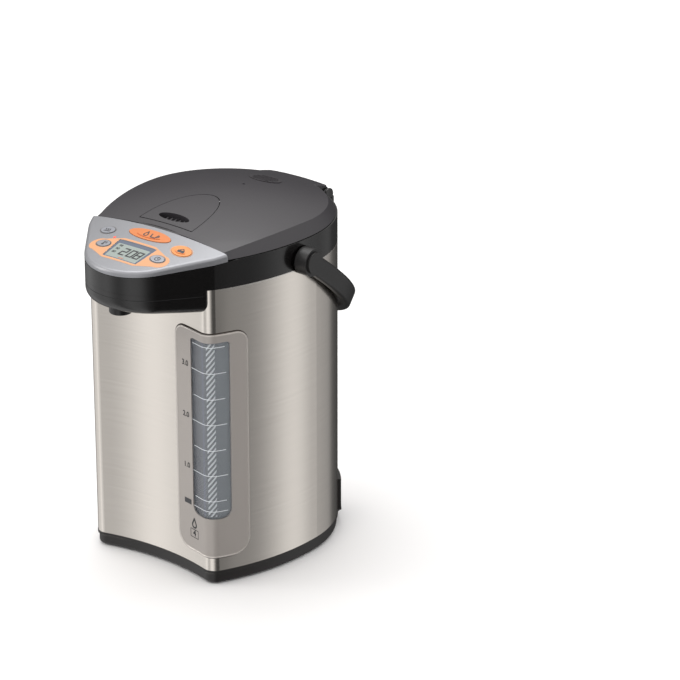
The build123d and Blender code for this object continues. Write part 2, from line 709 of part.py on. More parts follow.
def tact_switches():
    blocks = []
    for x, back, length, width in KEYS.values():
        place = PANEL * Pos(x, -back, -BOARD_DROP + SWITCH_HIGH / 2)
        blocks.append(place * Box(SWITCH_WIDE, SWITCH_WIDE, SWITCH_HIGH))
    return Compound(children=blocks)


def lamp_shape(grow):
    return Pos(LAMP_X, -LAMP_BACK) * Circle(LAMP_RADIUS + grow)


def indicator_lens():
    """A light guide from the board up to the panel's face."""
    lens = PANEL * Pos(0, 0, -BOARD_DROP) * extrude(lamp_shape(0), BOARD_DROP + 3)
    return lens & crown(-0.15)


# ================= lid =================

def behind(y):
    """The half of the plan behind a line across the pot."""
    return Pos(0, y + FAR) * Rectangle(2 * FAR, 2 * FAR)


def lid_block(inset, drop):
    """The lid's solid: the pot's plan, leaning in as it rises, under the dome."""
    plan = outline(LID_INSET + inset)
    lean = extrude(Pos(0, 0, LID_LOW) * plan, LID_CHAMFER_HIGH, taper=LID_CHAMFER_SLOPE)
    lean += extrude(lean.faces().sort_by(Axis.Z)[-1], DOME_HIGH - LID_LOW)
    block = lean & prism(plan & behind(LID_FRONT_Y + inset), LID_LOW, TALL)
    return block & dome(drop)


def arch(grow, front, apex):
    """The lever's plan: a half ellipse with a straight front edge."""
    return Pos(0, front) * Ellipse(FLAP_HALF + grow, apex - front) & behind(front)


def shell_between(shape, top_drop, low_drop):
    """A slab of the dome's own curve under a plan shape."""
    return (prism(shape, SKIN_HIGH, TALL) & dome(top_drop)) - dome(low_drop)


def lid_top():
    shell = lid_block(0, 0) - lid_block(LID_LIP, LID_WALL)
    tub = arch(3.0, FLAP_FRONT_Y - 3, FLAP_APEX_Y + 3.5)
    shell += shell_between(tub, 0, FLAP_ROOM + 2) & lid_block(0, 0)
    shell += shell_between(finger_shape(2.0), 1, FINGER_DEEP) & lid_block(0, 0)
    shell -= shell_between(arch(FLAP_GAP, FLAP_FRONT_Y - 1, FLAP_APEX_Y + 1), -3, FLAP_ROOM)
    shell -= shell_between(finger_shape(0.6), -3, FINGER_DEEP - 2)
    shell -= rod_x(FLAP_PIN_RADIUS, -FLAP_PIN_HALF, FLAP_PIN_HALF, FLAP_PIN_Y, flap_pin_z())
    shell -= shell_between(vent_shape(RUN), -3, 2 * LID_WALL)
    return shell - disc(DOT_RADIUS, RIM_HIGH, TALL, 0, DOT_Y)


def flap_pin_z():
    """The lever's pin lies halfway through the lever's thickness."""
    return dome_z(0, FLAP_PIN_Y) - FLAP_THICK / 2


def finger_shape(grow):
    return Pos(0, FINGER_Y) * Ellipse(FINGER_LONG / 2 + grow, FINGER_WIDE / 2 + grow)


def vent_shape(grow):
    return Pos(0, VENT_Y) * Ellipse(VENT_LONG / 2 + grow, VENT_WIDE / 2 + grow)


def lid_lever():
    flap = shell_between(arch(0, FLAP_FRONT_Y, FLAP_APEX_Y), 0, FLAP_THICK)
    flap -= prism(finger_shape(0), 0, TALL)
    return flap - rod_x(FLAP_PIN_RADIUS + FIT, -FAR, FAR, FLAP_PIN_Y, flap_pin_z())


def lid_lever_pin():
    return rod_x(FLAP_PIN_RADIUS, -FLAP_PIN_HALF, FLAP_PIN_HALF, FLAP_PIN_Y, flap_pin_z())


def lid_lever_spring():
    """A leaf on the pocket's floor that presses the lever shut."""
    strip = Pos(0, -46) * Rectangle(7, 20)
    return shell_between(strip, FLAP_ROOM - 0.5, FLAP_ROOM)


def vent_cap():
    cap = shell_between(vent_shape(0), -0.6, LID_WALL)
    for count in range(VENT_SLOTS):
        off = VENT_SLOT_STEP * (count - (VENT_SLOTS - 1) / 2)
        half = sqrt(1 - (2 * off / VENT_WIDE) ** 2) * VENT_LONG / 2 - 3.5
        y = VENT_Y + off
        cap -= box(-half, half, y - VENT_SLOT_WIDE / 2, y + VENT_SLOT_WIDE / 2, RIM_HIGH, TALL)
    return cap


def steam_duct():
    """The pipe that brings steam from the container to the vent."""
    high = dome_z(0, VENT_Y + STEAM_RADIUS) - LID_WALL - SLIP
    return tube(STEAM_RADIUS, STEAM_RADIUS - STEAM_WALL, TRAY_LOW - 3, high, 0, VENT_Y)


def lid_underside():
    """The lid's tray, with rails for the latch and two knuckles on the hinge pin."""
    front = LID_FRONT_Y + TRAY_FRONT_GAP
    room = outline(TRAY_INSET + TRAY_WALL) & behind(front + TRAY_WALL)
    tray = prism(outline(TRAY_INSET) & behind(front), TRAY_LOW, LID_LOW)
    tray -= prism(room, TRAY_LOW + TRAY_WALL, TALL)
    for side in (-1, 1):
        rail = side * (LATCH_HALF - 3)
        tray += box(rail - 1.5, rail + 1.5, front + 1.5, LATCH_END_Y + 4, TRAY_LOW + 1, LATCH_LOW - RUN)
        tray += knuckle(side * KNUCKLE_X, room)
        tray -= rod_x(HINGE_PIN_RADIUS + FIT, side * HOUSING_HALF, side * RUN, HINGE_Y, HINGE_Z)
    slot = LATCH_HALF + SLIP
    tray -= box(-slot, slot, LID_FRONT_Y - 1, front + 4, LATCH_LOW - RUN, LATCH_LOW + LATCH_THICK + SLIP)
    return tray - disc(STEAM_RADIUS + RUN, 0, TALL, 0, VENT_Y)


def knuckle(x, room):
    """An arm from the tray's back wall to a boss round the hinge pin."""
    half = KNUCKLE_WIDTH / 2
    arm = box(x - half, x + half, BACK_RADIUS - 17, HINGE_Y, HINGE_Z - KNUCKLE_RADIUS, HINGE_Z + 3)
    boss = rod_x(KNUCKLE_RADIUS, x - half, x + half, HINGE_Y, HINGE_Z)
    return arm - prism(room, TRAY_LOW, TALL) + boss


def lid_latch():
    """The bolt that holds the lid down; its tongue faces the slot in the panel's back wall."""
    bar = box(-LATCH_HALF, LATCH_HALF, LATCH_TIP_Y, LATCH_END_Y, LATCH_LOW, LATCH_LOW + LATCH_THICK)
    return fillet(bar.edges().filter_by(Axis.X).sort_by(Axis.Y)[0:1], 1.5)


def lid_inner_plate():
    """The steel dish over the container's mouth, with a flange that backs the gasket."""
    top = TRAY_LOW - RUN / 2
    flange = NECK_FLANGE - 0.5
    plug = NECK_BORE - PLUG_GAP
    high = top - PLATE_WALL
    low = PLUG_LOW
    plate = lathe(
        (0, low), (plug - 3, low), (plug, low + 3), (plug, high), (flange, high), (flange, top),
        (plug - 2, top), (plug - 2, low + 4), (plug - 4, low + 2), (0, low + 2))
    plate -= disc(STEAM_RADIUS + RUN, 0, TALL, 0, VENT_Y)
    return plate - disc(3.5, 0, TALL)


def lid_gasket():
    high = TRAY_LOW - RUN / 2 - PLATE_WALL - RUN / 2
    return tube(NECK_FLANGE - 0.5, NECK_BORE - PLUG_GAP + RUN, NECK_HIGH + RUN / 2, high)


# ================= heater and pump =================

def heater():
    ring = tube(HEATER_RADIUS, HEATER_HOLE, JACKET_LOW + 0.5, VESSEL_FLOOR - VESSEL_WALL - RUN / 2)
    return ring - disc(STUB_RADIUS + 4, 0, TALL, PUMP_X, PUMP_Y)


def heater_bracket():
    """A plate in the jacket's mouth that presses the heater up, with three windows."""
    plate = tube(VESSEL_BORE + 0.6, HEATER_HOLE, BRACKET_LOW, JACKET_LOW + 0.4)
    for turn in (30, 150, 270):
        plate -= Rot(0, 0, turn) * box(36, 66, -14, 14, 0, TALL)
    return plate - disc(STUB_RADIUS + 4, 0, TALL, PUMP_X, PUMP_Y)


def thermostat():
    """A snap disc under the bracket, with its terminal strip."""
    can = disc(8, BRACKET_LOW - 12, BRACKET_LOW - RUN / 2, -31, 2)
    return can + box(-34, -28, -12, 16, BRACKET_LOW - 9, BRACKET_LOW - 7.6)


def temperature_sensor():
    can = disc(5, BRACKET_LOW - 8, BRACKET_LOW - RUN / 2, 0, 31)
    return can + disc(1.6, BRACKET_LOW - 21, BRACKET_LOW - 7, 0, 31)


def inlet_sleeve():
    """The soft sleeve that joins the container's outlet to the pump's neck."""
    return tube(STUB_RADIUS + 2, STUB_RADIUS + RUN, PUMP_HIGH + RUN, STUB_LOW + 4, PUMP_X, PUMP_Y)


def pump_housing():
    body = disc(PUMP_RADIUS, PUMP_LOW, PUMP_HIGH, PUMP_X, PUMP_Y)
    neck = disc(STUB_RADIUS, PUMP_HIGH, STUB_LOW - 0.5, PUMP_X, PUMP_Y)
    stub = Pos(PUMP_X, PUMP_Y, OUTLET_Z) * Rot(0, 0, OUTLET_TURN) * Pos(PUMP_RADIUS, 0, 0) * Rot(0, 90, 0)
    body = body + neck + stub * Cylinder(OUTLET_RADIUS, 8)
    body -= disc(PUMP_RADIUS - PUMP_FLOOR, 0, PUMP_HIGH - PUMP_FLOOR, PUMP_X, PUMP_Y)
    body -= stub * Cylinder(OUTLET_BORE, 12)
    return body - disc(STUB_BORE, 0, TALL, PUMP_X, PUMP_Y)


def pump_cover():
    """The pump's floor, with ears on the posts and a stub axle for the impeller."""
    low = PUMP_LOW - PUMP_FLOOR
    plate = disc(PUMP_RADIUS, low, PUMP_LOW, PUMP_X, PUMP_Y)
    for x, y in post_places():
        plate += disc(POST_RADIUS + 2, low, PUMP_LOW - RUN, x, y)
    return plate + disc(SHAFT_RADIUS, PUMP_LOW - 1, PUMP_LOW + 9, PUMP_X, PUMP_Y)


def impeller():
    low = PUMP_LOW + 0.6
    wheel = disc(WHEEL_RADIUS, low, low + 2.5, PUMP_X, PUMP_Y) + disc(4, low, low + 8, PUMP_X, PUMP_Y)
    vane = box(3, WHEEL_RADIUS - 1, -0.8, 0.8, low, low + 8)
    for turn in range(0, 360, 60):
        wheel += Pos(PUMP_X, PUMP_Y, 0) * Rot(0, 0, turn) * vane
    return wheel - disc(SHAFT_RADIUS + FIT, 0, TALL, PUMP_X, PUMP_Y)


def pump_motor():
    can = disc(MOTOR_RADIUS, COVER_HIGH, MOTOR_HIGH, PUMP_X, PUMP_Y)
    return can - disc(SHAFT_RADIUS + FIT, COVER_HIGH + 2, TALL, PUMP_X, PUMP_Y)


def motor_shaft():
    return disc(SHAFT_RADIUS, COVER_HIGH + 2 + SLIP, PUMP_LOW - PUMP_FLOOR - 1, PUMP_X, PUMP_Y)


def drive_magnet():
    return tube(MAGNET_RADIUS, SHAFT_RADIUS, MOTOR_HIGH + 0.8, PUMP_LOW - PUMP_FLOOR - 0.6, PUMP_X, PUMP_Y)


def outlet_elbow():
    start = PUMP_RADIUS + 4 + RUN
    x = PUMP_X + start * cos(radians(OUTLET_TURN))
    y = PUMP_Y + start * sin(radians(OUTLET_TURN))
    route = FilletPolyline(
        (x, y, OUTLET_Z), (PIPE_X, PIPE_Y, OUTLET_Z), (PIPE_X, PIPE_Y, PIPE_LOW), radius=9.0)
    return piped(route, OUTLET_RADIUS, OUTLET_BORE)


def power_board():
    """The main board on its four posts, with its transformer, relay and heat sink."""
    x0, x1, y0, y1 = BOARD_SPAN
    board = box(x0, x1, y0, y1, BOARD_Z, BOARD_Z + BOARD_THICK)
    parts = [(11, 29, 8, 28, 15), (11, 31, 41, 63, 12), (35, 42, 13, 63, 9), (5, 19, 69, 78, 8)]
    for left, right, front, back, height in parts:
        top = BOARD_Z + BOARD_THICK + height
        board += box(x0 + left, x0 + right, y0 + front, y0 + back, BOARD_Z + 1, top)
    return board


# ================= power receptacle =================

def inlet_block(grow=0.0):
    """The receptacle's outer shape, a block that follows the round back."""
    half = INLET_WIDE / 2 + grow
    front = BACK_RADIUS + INLET_PROUD - INLET_DEEP - grow
    block = box(front, FAR, -half, half, INLET_LOW - grow, INLET_HIGH + grow)
    return Rot(0, 0, INLET_TURN) * (block & disc(BACK_RADIUS + INLET_PROUD + grow, 0, TALL))


def power_inlet():
    """The receptacle for the magnetic plug, open outwards."""
    floor = BACK_RADIUS + INLET_PROUD - SOCKET_DEEP
    wide = SOCKET_WIDE / 2
    high = SOCKET_HIGH / 2
    socket = box(floor, FAR, -wide, wide, INLET_MID - high, INLET_MID + high)
    block = inlet_block() - Rot(0, 0, INLET_TURN) * socket
    for y in (-PRONG_APART / 2, PRONG_APART / 2):
        block -= prong(y, floor - 6.5, floor + 1)
    return block


def prong(y, start, end):
    """A round bar across the receptacle, from one radius to another."""
    bar = Pos((start + end) / 2, y, INLET_MID) * Rot(0, 90, 0) * Cylinder(PRONG_RADIUS, end - start)
    return Rot(0, 0, INLET_TURN) * bar


def inlet_pins():
    floor = BACK_RADIUS + INLET_PROUD - SOCKET_DEEP
    pins = [prong(y, floor - 6.5, floor + 5.5) for y in (-PRONG_APART / 2, PRONG_APART / 2)]
    return Compound(children=pins)


# ================= handle =================

DROP = radians(BAIL_DROP)
BAIL = Plane(origin=(0, PIVOT_Y, PIVOT_Z), x_dir=(1, 0, 0), z_dir=(0, sin(DROP), cos(DROP)))
BAIL_MID = -PIVOT_Y / cos(DROP)


def bail_outline(grow):
    """A half ellipse behind the container's axis and straight arms in front of it."""
    half = BAIL_HALF + grow
    oval = Pos(0, BAIL_MID) * Ellipse(half, BAIL_REACH - BAIL_THICK - BAIL_MID + grow)
    arms = Pos(0, BAIL_MID / 2 - 10) * Rectangle(2 * half, BAIL_MID + 20)
    return (oval & behind(BAIL_MID)) + arms


def handle():
    strip = (bail_outline(BAIL_THICK) - bail_outline(0)) & behind(0)
    strap = extrude(strip, BAIL_WIDE)
    sides = strap.faces().filter_by(Axis.Z)
    strap = fillet([edge for side in sides for edge in side.edges()], BAIL_EDGE_RADIUS)
    bail = BAIL * Pos(0, 0, -BAIL_WIDE / 2) * strap
    for side in (-1, 1):
        inner = side * (BACK_RADIUS + BAIL_GAP)
        bail += rod_x(BAIL_BOSS, inner, side * (BAIL_HALF + BAIL_THICK), PIVOT_Y, PIVOT_Z)
        bail -= rod_x(PIVOT_RADIUS + RUN, side * CORNER_X, side * FAR, PIVOT_Y, PIVOT_Z)
    return bail


def handle_pivots():
    """The two shouldered pins that carry the bail in the collar's side walls."""
    pins = []
    outer = BAIL_HALF + BAIL_THICK + SLIP
    for side in (-1, 1):
        pin = rod_x(PIVOT_RADIUS, side * (BACK_RADIUS - COLLAR_WALL - 0.5), side * outer, PIVOT_Y, PIVOT_Z)
        head = rod_x(PIVOT_HEAD_RADIUS, side * outer, side * (outer + PIVOT_HEAD_THICK), PIVOT_Y, PIVOT_Z)
        pins.append(pin + head)
    return Compound(children=pins)


NODES = [
    inner_vessel, vacuum_jacket, vessel_rim_seal, body_shell, base_trim, bottom_cover, base_screws,
    rubber_feet, window_frame, window_lens, window_backing, upper_collar, hinge_housing, lid_detach_lever,
    lid_hinge_pin, nose_cover, spout_nozzle, anti_spill_valve, spout_pipe, level_pipe, control_panel,
    lcd_window, lcd_module, control_board, tact_switches, indicator_lens, lid_top, lid_lever, lid_lever_pin,
    lid_lever_spring, vent_cap, steam_duct, lid_underside, lid_latch, lid_inner_plate, lid_gasket, heater,
    heater_bracket, thermostat, temperature_sensor, inlet_sleeve, pump_housing, pump_cover, impeller,
    pump_motor, motor_shaft, drive_magnet, outlet_elbow, power_board, power_inlet, inlet_pins, handle,
    handle_pivots,
]


def main():
    os.makedirs("parts", exist_ok=True)
    pieces = {make.__name__: make() for make in NODES}
    pieces.update({name: key(name) for name in KEYS})
    boxes = [piece.bounding_box() for piece in pieces.values()]
    front = min(span.min.Y for span in boxes)
    back = max(span.max.Y for span in boxes)
    for name, piece in pieces.items():
        centred = Pos(0, -(front + back) / 2, 0) * piece
        export_step(Compound(centred.solids()), f"parts/{name}.step")


main()
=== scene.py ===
import bpy, bmesh, json
from math import atan2, cos, degrees, hypot, pi, radians, sin, sqrt
from mathutils import Matrix, Vector
from mathutils.bvhtree import BVHTree


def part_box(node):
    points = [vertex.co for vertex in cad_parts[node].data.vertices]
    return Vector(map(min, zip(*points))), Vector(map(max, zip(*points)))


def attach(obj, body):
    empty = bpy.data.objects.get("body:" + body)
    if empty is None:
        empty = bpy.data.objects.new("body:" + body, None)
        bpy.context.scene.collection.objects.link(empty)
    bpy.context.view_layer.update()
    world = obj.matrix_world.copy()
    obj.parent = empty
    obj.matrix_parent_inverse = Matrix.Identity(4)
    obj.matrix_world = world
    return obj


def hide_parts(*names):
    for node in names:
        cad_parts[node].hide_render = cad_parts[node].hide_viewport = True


# A four-litre electric thermo pot: the solids get their finishes, then the prints, the trim and the hinge
# are laid over them.
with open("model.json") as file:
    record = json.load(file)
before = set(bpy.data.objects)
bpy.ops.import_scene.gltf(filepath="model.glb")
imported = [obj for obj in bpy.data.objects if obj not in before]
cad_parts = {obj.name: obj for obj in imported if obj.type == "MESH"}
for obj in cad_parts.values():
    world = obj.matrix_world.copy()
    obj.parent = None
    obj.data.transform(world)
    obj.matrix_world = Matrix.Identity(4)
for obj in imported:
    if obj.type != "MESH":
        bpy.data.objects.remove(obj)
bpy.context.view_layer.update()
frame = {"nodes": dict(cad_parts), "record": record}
nodes = frame["nodes"]
print("stage: frame loaded,", len(nodes), "nodes")

mm = 0.001  # the pieces are sized in millimetres; the frame, the camera and the lamps are in metres
frontCorner = (52.0, -86.0)  # the upright axis that the window bends round


def middleOf(node):
    low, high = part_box(node)
    return (low + high) / 2


axisY = middleOf("vessel_rim_seal").y  # the container's own axis, which every place is measured from


def at(x, y, z):  # millimetres about the container's axis, to a point in the frame
    return Vector((x * mm, y * mm + axisY, z * mm))


def outward(turn):  # the level direction at a number of degrees from +X
    return Vector((cos(radians(turn)), sin(radians(turn)), 0))


lens = {"azimuth": 38.05, "elevation": 22.8, "distance": 2.8, "target": (0.0735, 0.0612, 0.1739),
        "focal": 171.4, "sensor": 36.0, "near": 0.05, "far": 50.0}


def makeCamera():
    azimuth, elevation = radians(lens["azimuth"]), radians(lens["elevation"])
    away = Vector((sin(azimuth) * cos(elevation), -cos(azimuth) * cos(elevation), sin(elevation)))
    data = bpy.data.cameras.new("potCamera")
    data.lens, data.sensor_width, data.sensor_fit = lens["focal"], lens["sensor"], "HORIZONTAL"
    data.clip_start, data.clip_end = lens["near"], lens["far"]
    camera = bpy.data.objects.new("potCamera", data)
    camera.location = Vector(lens["target"]) + Vector((0, axisY, 0)) + away * lens["distance"]
    camera.rotation_euler = (-away).to_track_quat("-Z", "Y").to_euler()
    bpy.context.scene.collection.objects.link(camera)
    bpy.context.scene.camera = camera


makeCamera()
print("stage: camera set")


class Wire:  # a value socket that can be used in sums

    def __init__(self, book, socket):
        self.book, self.socket = book, socket

    def maths(self, kind, *others, swap=False):
        parts = [*others, self] if swap else [self, *others]
        return self.book.add("ShaderNodeMath", {"operation": kind}, *parts)

    def __add__(self, other):
        return self.maths("ADD", other)

    def __radd__(self, other):
        return self.maths("ADD", other)

    def __sub__(self, other):
        return self.maths("SUBTRACT", other)

    def __rsub__(self, other):
        return self.maths("SUBTRACT", other, swap=True)

    def __mul__(self, other):
        return self.maths("MULTIPLY", other)

    def __rmul__(self, other):
        return self.maths("MULTIPLY", other)

    def __truediv__(self, other):
        return self.maths("DIVIDE", other)

    def __rtruediv__(self, other):
        return self.maths("DIVIDE", other, swap=True)

    def __neg__(self):
        return self.maths("MULTIPLY", -1.0)

    def turn(self, other):
        return self.maths("ARCTAN2", other)

    def ramp(self, low, high):  # 0 below low and 1 above high, smooth between
        settings = {"interpolation_type": "SMOOTHSTEP"}
        return self.book.add("ShaderNodeMapRange", settings, self, low, high, 0.0, 1.0)


class Book:  # one material's nodes, made by one method

    def __init__(self, tree):
        self.tree = tree
        self.tree.nodes.clear()
        self.count = 0

    def add(self, kind, settings=None, *values, out=0, **named):
        node = self.tree.nodes.new(kind)
        node.location = (self.count * 40, -self.count * 12)
        self.count += 1
        for key, value in (settings or {}).items():
            if key == "stops":
                self.setStops(node.color_ramp, value)
            else:
                setattr(node, key, value)
        for index, value in enumerate(values):
            self.feed(node.inputs[index], value)
        for name, value in named.items():
            self.feed(node.inputs[name], value)
        return Wire(self, node.outputs[out])

    def setStops(self, ramp, stops):
        ramp.elements.remove(ramp.elements[-1])
        ramp.elements[0].position, ramp.elements[0].color = stops[0][0], (*stops[0][1], 1.0)
        for place, colour in stops[1:]:
            ramp.elements.new(place).color = (*colour, 1.0)

    def feed(self, socket, value):  # a value of None leaves the socket as it is
        if isinstance(value, Wire):
            self.tree.links.new(value.socket, socket)
        elif value is not None:
            if socket.type == "RGBA" and len(value) == 3:
                value = (*value, 1.0)
            socket.default_value = value

    def place(self):  # the point on the object itself
        return self.add("ShaderNodeTexCoord", out=3)

    def stretch(self, vector, scale):
        return self.add("ShaderNodeMapping", None, vector, Scale=scale)

    def axes(self, vector):
        split = self.add("ShaderNodeSeparateXYZ", None, vector)
        return [Wire(self, socket) for socket in split.socket.node.outputs]

    def noise(self, vector, scale=1.0, detail=2.0, rough=0.5):
        return self.add("ShaderNodeTexNoise", Vector=vector, Scale=scale, Detail=detail, Roughness=rough)

    def grains(self, vector, scale):
        return self.add("ShaderNodeTexVoronoi", Vector=vector, Scale=scale)

    def blend(self, share, first, second):  # a colour mix, whose colours are the seventh and eighth sockets
        unused = (None,) * 5
        return self.add("ShaderNodeMix", {"data_type": "RGBA"}, share, *unused, first, second, out=2)

    def bump(self, height, strength, depth):
        return self.add("ShaderNodeBump", Height=height, Strength=strength, Distance=depth)


def finish(name, make):  # a material: make() lays out its nodes and returns the shader's sockets
    material = bpy.data.materials.new(name)
    material.use_nodes = True
    book = Book(material.node_tree)
    sockets = make(book)
    shader = book.add("ShaderNodeBsdfPrincipled", **sockets)
    end = book.tree.nodes.new("ShaderNodeOutputMaterial")
    book.tree.links.new(shader.socket, end.inputs[0])
    if "Alpha" in sockets:
        material.surface_render_method = "BLENDED"
    return material


def shade(colour, share):
    return tuple(min(1, part * share) for part in colour)


def brushedSteel(colour, rough, streak=900.0, depth=0.018):  # bump depths are in millimetres
    def make(book):
        where = book.place()
        fine = book.noise(book.stretch(where, (14, 14, streak)), detail=3.0, rough=0.6)
        broad = book.noise(book.stretch(where, (5, 5, 60)))
        return {
            "Base Color": book.blend(fine, shade(colour, 0.93), shade(colour, 1.05)),
            "Metallic": 1.0,
            "Roughness": rough - 0.03 + fine * 0.05 + broad * 0.02,
            "Normal": book.bump(fine, 0.35, depth * mm),
        }
    return make


def turnedSteel(colour, rough):
    def make(book):
        spots = book.noise(book.place(), scale=900.0)
        return {
            "Base Color": book.blend(spots, shade(colour, 0.9), colour),
            "Metallic": 1.0,
            "Roughness": rough + spots * 0.08,
            "Normal": book.bump(spots, 0.15, 0.02 * mm),
        }
    return make


def mouldedPlastic(colour, rough, grain=2600.0, depth=0.02, strength=0.2, mottle=0.10, coat=0.0):
    def make(book):
        where = book.place()
        grit = book.noise(where, scale=grain, rough=0.6)
        cloud = book.noise(where, scale=22.0, detail=3.0)
        return {
            "Base Color": book.blend(cloud, shade(colour, 1 - mottle), shade(colour, 1 + mottle)),
            "Roughness": rough - 0.02 + grit * 0.04 + cloud * 0.03,
            "Coat Weight": coat,
            "Coat Roughness": 0.08,
            "Normal": book.bump(grit, strength, depth * mm),
        }
    return make


def metallicPaint(colour, rough, fleck, metal):
    def make(book):
        where = book.place()
        flakes = book.grains(where, scale=4200.0)
        cloud = book.noise(where, scale=30.0)
        return {
            "Base Color": book.blend(flakes, shade(colour, 1 - fleck), shade(colour, 1 + fleck)),
            "Metallic": metal,
            "Roughness": rough + cloud * 0.04,
            "Coat Weight": 0.25,
            "Coat Roughness": 0.12,
            "Normal": book.bump(flakes, 0.06, 0.01 * mm),
        }
    return make


def clearPlastic(colour, alpha, rough=0.06):
    def make(book):
        haze = book.noise(book.place(), scale=60.0)
        return {
            "Base Color": book.blend(haze, shade(colour, 0.94), colour),
            "Roughness": rough + haze * 0.03,
            "Coat Weight": 0.6,
            "Coat Roughness": 0.03,
            "Alpha": alpha,
        }
    return make


# left and right are the painted shade and painted light that the backing blends between, from and to being
# turns in radians round the corner; the streak is a painted bluish reflection and the cloud a random tone
backing = {"left": (0.135, 0.138, 0.15), "right": (0.265, 0.29, 0.305), "from": -2.0, "to": -0.55,
           "cloud": (0.19, 0.205, 0.225), "cloudShare": 0.3,
           "streak": (0.24, 0.25, 0.46), "reflectionAt": -1.27, "reflectionHalf": 0.07, "reflectionShare": 0.35}


def backingPaintedLight(book):  # the window's backing: painted shade, dark on the nose side and paler round the corner, crossed by one bluish streak of painted reflection
    where = book.place()
    x, y, _ = book.axes(where)
    corner = at(*frontCorner, 0)
    turn = (y - corner.y).turn(x - corner.x)
    middle, half = backing["reflectionAt"], backing["reflectionHalf"]
    paintedShadeToLight = turn.ramp(backing["from"], backing["to"])
    cloud = book.noise(book.stretch(where, (40, 40, 6)))
    streak = turn.ramp(middle - half, middle) * (1 - turn.ramp(middle, middle + half))
    base = book.blend(paintedShadeToLight, backing["left"], backing["right"])
    clouded = book.blend(cloud * backing["cloudShare"], base, backing["cloud"])
    return {
        "Base Color": book.blend(streak * backing["reflectionShare"], clouded, backing["streak"]),
        "Roughness": 0.4 + cloud * 0.1,
    }


def printInk(colour, rough=0.35):
    def make(book):
        dots = book.noise(book.place(), scale=5000.0, detail=1.0)
        return {
            "Base Color": book.blend(dots, shade(colour, 0.92), colour),
            "Roughness": rough + dots * 0.06,
        }
    return make


def circuitBoard(book):
    lines = book.grains(book.place(), scale=260.0).ramp(0.35, 0.42)
    return {
        "Base Color": book.blend(lines, (0.03, 0.17, 0.07), (0.02, 0.10, 0.045)),
        "Roughness": 0.35 + lines * 0.1,
        "Normal": book.bump(lines, 0.3, 0.05 * mm),
    }


def litLamp(book):
    core = book.noise(book.place(), scale=1500.0, detail=1.0)
    return {
        "Base Color": book.blend(core, (0.85, 0.06, 0.03), (0.95, 0.12, 0.06)),
        "Roughness": 0.2 + core * 0.1,
        "Emission Color": (1.0, 0.09, 0.04),
        "Emission Strength": 0.5,
    }


keyMould = {"grain": 2500.0, "mottle": 0.05, "coat": 0.15}
finishes = {
    "brushed_steel_body": brushedSteel((0.80, 0.748, 0.69), 0.20),
    "vessel_steel": turnedSteel((0.72, 0.72, 0.71), 0.22),
    "seal_rubber": mouldedPlastic((0.05, 0.05, 0.05), 0.6, grain=900.0, depth=0.04),
    "base_plastic": mouldedPlastic((0.0145, 0.0125, 0.012), 0.42, grain=1800.0, depth=0.06, strength=0.35),
    "screw_steel": turnedSteel((0.55, 0.55, 0.55), 0.32),
    "frame_metallic": metallicPaint((0.385, 0.354, 0.33), 0.40, fleck=0.08, metal=0.35),
    "clear_lens": clearPlastic((0.20, 0.22, 0.25), 0.16),
    "backing_dark": backingPaintedLight,
    "clear_tube": clearPlastic((0.80, 0.85, 0.90), 0.45),
    "collar_gloss": mouldedPlastic((0.0035, 0.003, 0.003), 0.2, grain=3000.0, depth=0.008, strength=0.1,
                                   coat=0.28),
    "nozzle_black": mouldedPlastic((0.006, 0.0055, 0.006), 0.3),
    "inner_plastic": mouldedPlastic((0.16, 0.16, 0.165), 0.5),
    "panel_silver": metallicPaint((0.295, 0.30, 0.318), 0.36, fleck=0.07, metal=0.6),
    "key_silver": metallicPaint((0.30, 0.31, 0.34), 0.38, fleck=0.06, metal=0.5),
    # the display pane's dark slate, showing round the pale field, is a painted shadow of the bezel
    "lcd_pane": mouldedPlastic((0.085, 0.11, 0.16), 0.16, grain=900.0, depth=0.004, strength=0.05,
                               mottle=0.04, coat=0.3),
    "lcd_frame": mouldedPlastic((0.05, 0.055, 0.06), 0.4),
    "board_green": circuitBoard,
    "switch_black": mouldedPlastic((0.02, 0.02, 0.02), 0.45),
    "indicator_red": litLamp,
    "lid_grey": mouldedPlastic((0.0335, 0.031, 0.0355), 0.36, grain=2400.0, strength=0.25, mottle=0.04,
                               coat=0.1),
    "vent_dark": mouldedPlastic((0.036, 0.033, 0.037), 0.38),
    "heater_steel": turnedSteel((0.5, 0.48, 0.46), 0.4),
    "magnet_dark": mouldedPlastic((0.06, 0.06, 0.065), 0.5),
    "pin_brass": turnedSteel((0.78, 0.60, 0.30), 0.25),
    "handle_black": mouldedPlastic((0.014, 0.0135, 0.0135), 0.36, grain=1500.0, depth=0.04, strength=0.3),
    "dispense_orange": mouldedPlastic((0.64, 0.19, 0.042), 0.34, **keyMould),
    "unlock_orange": mouldedPlastic((0.76, 0.275, 0.066), 0.34, **keyMould),
}
paint = {slot: finish(slot, make) for slot, make in finishes.items()}
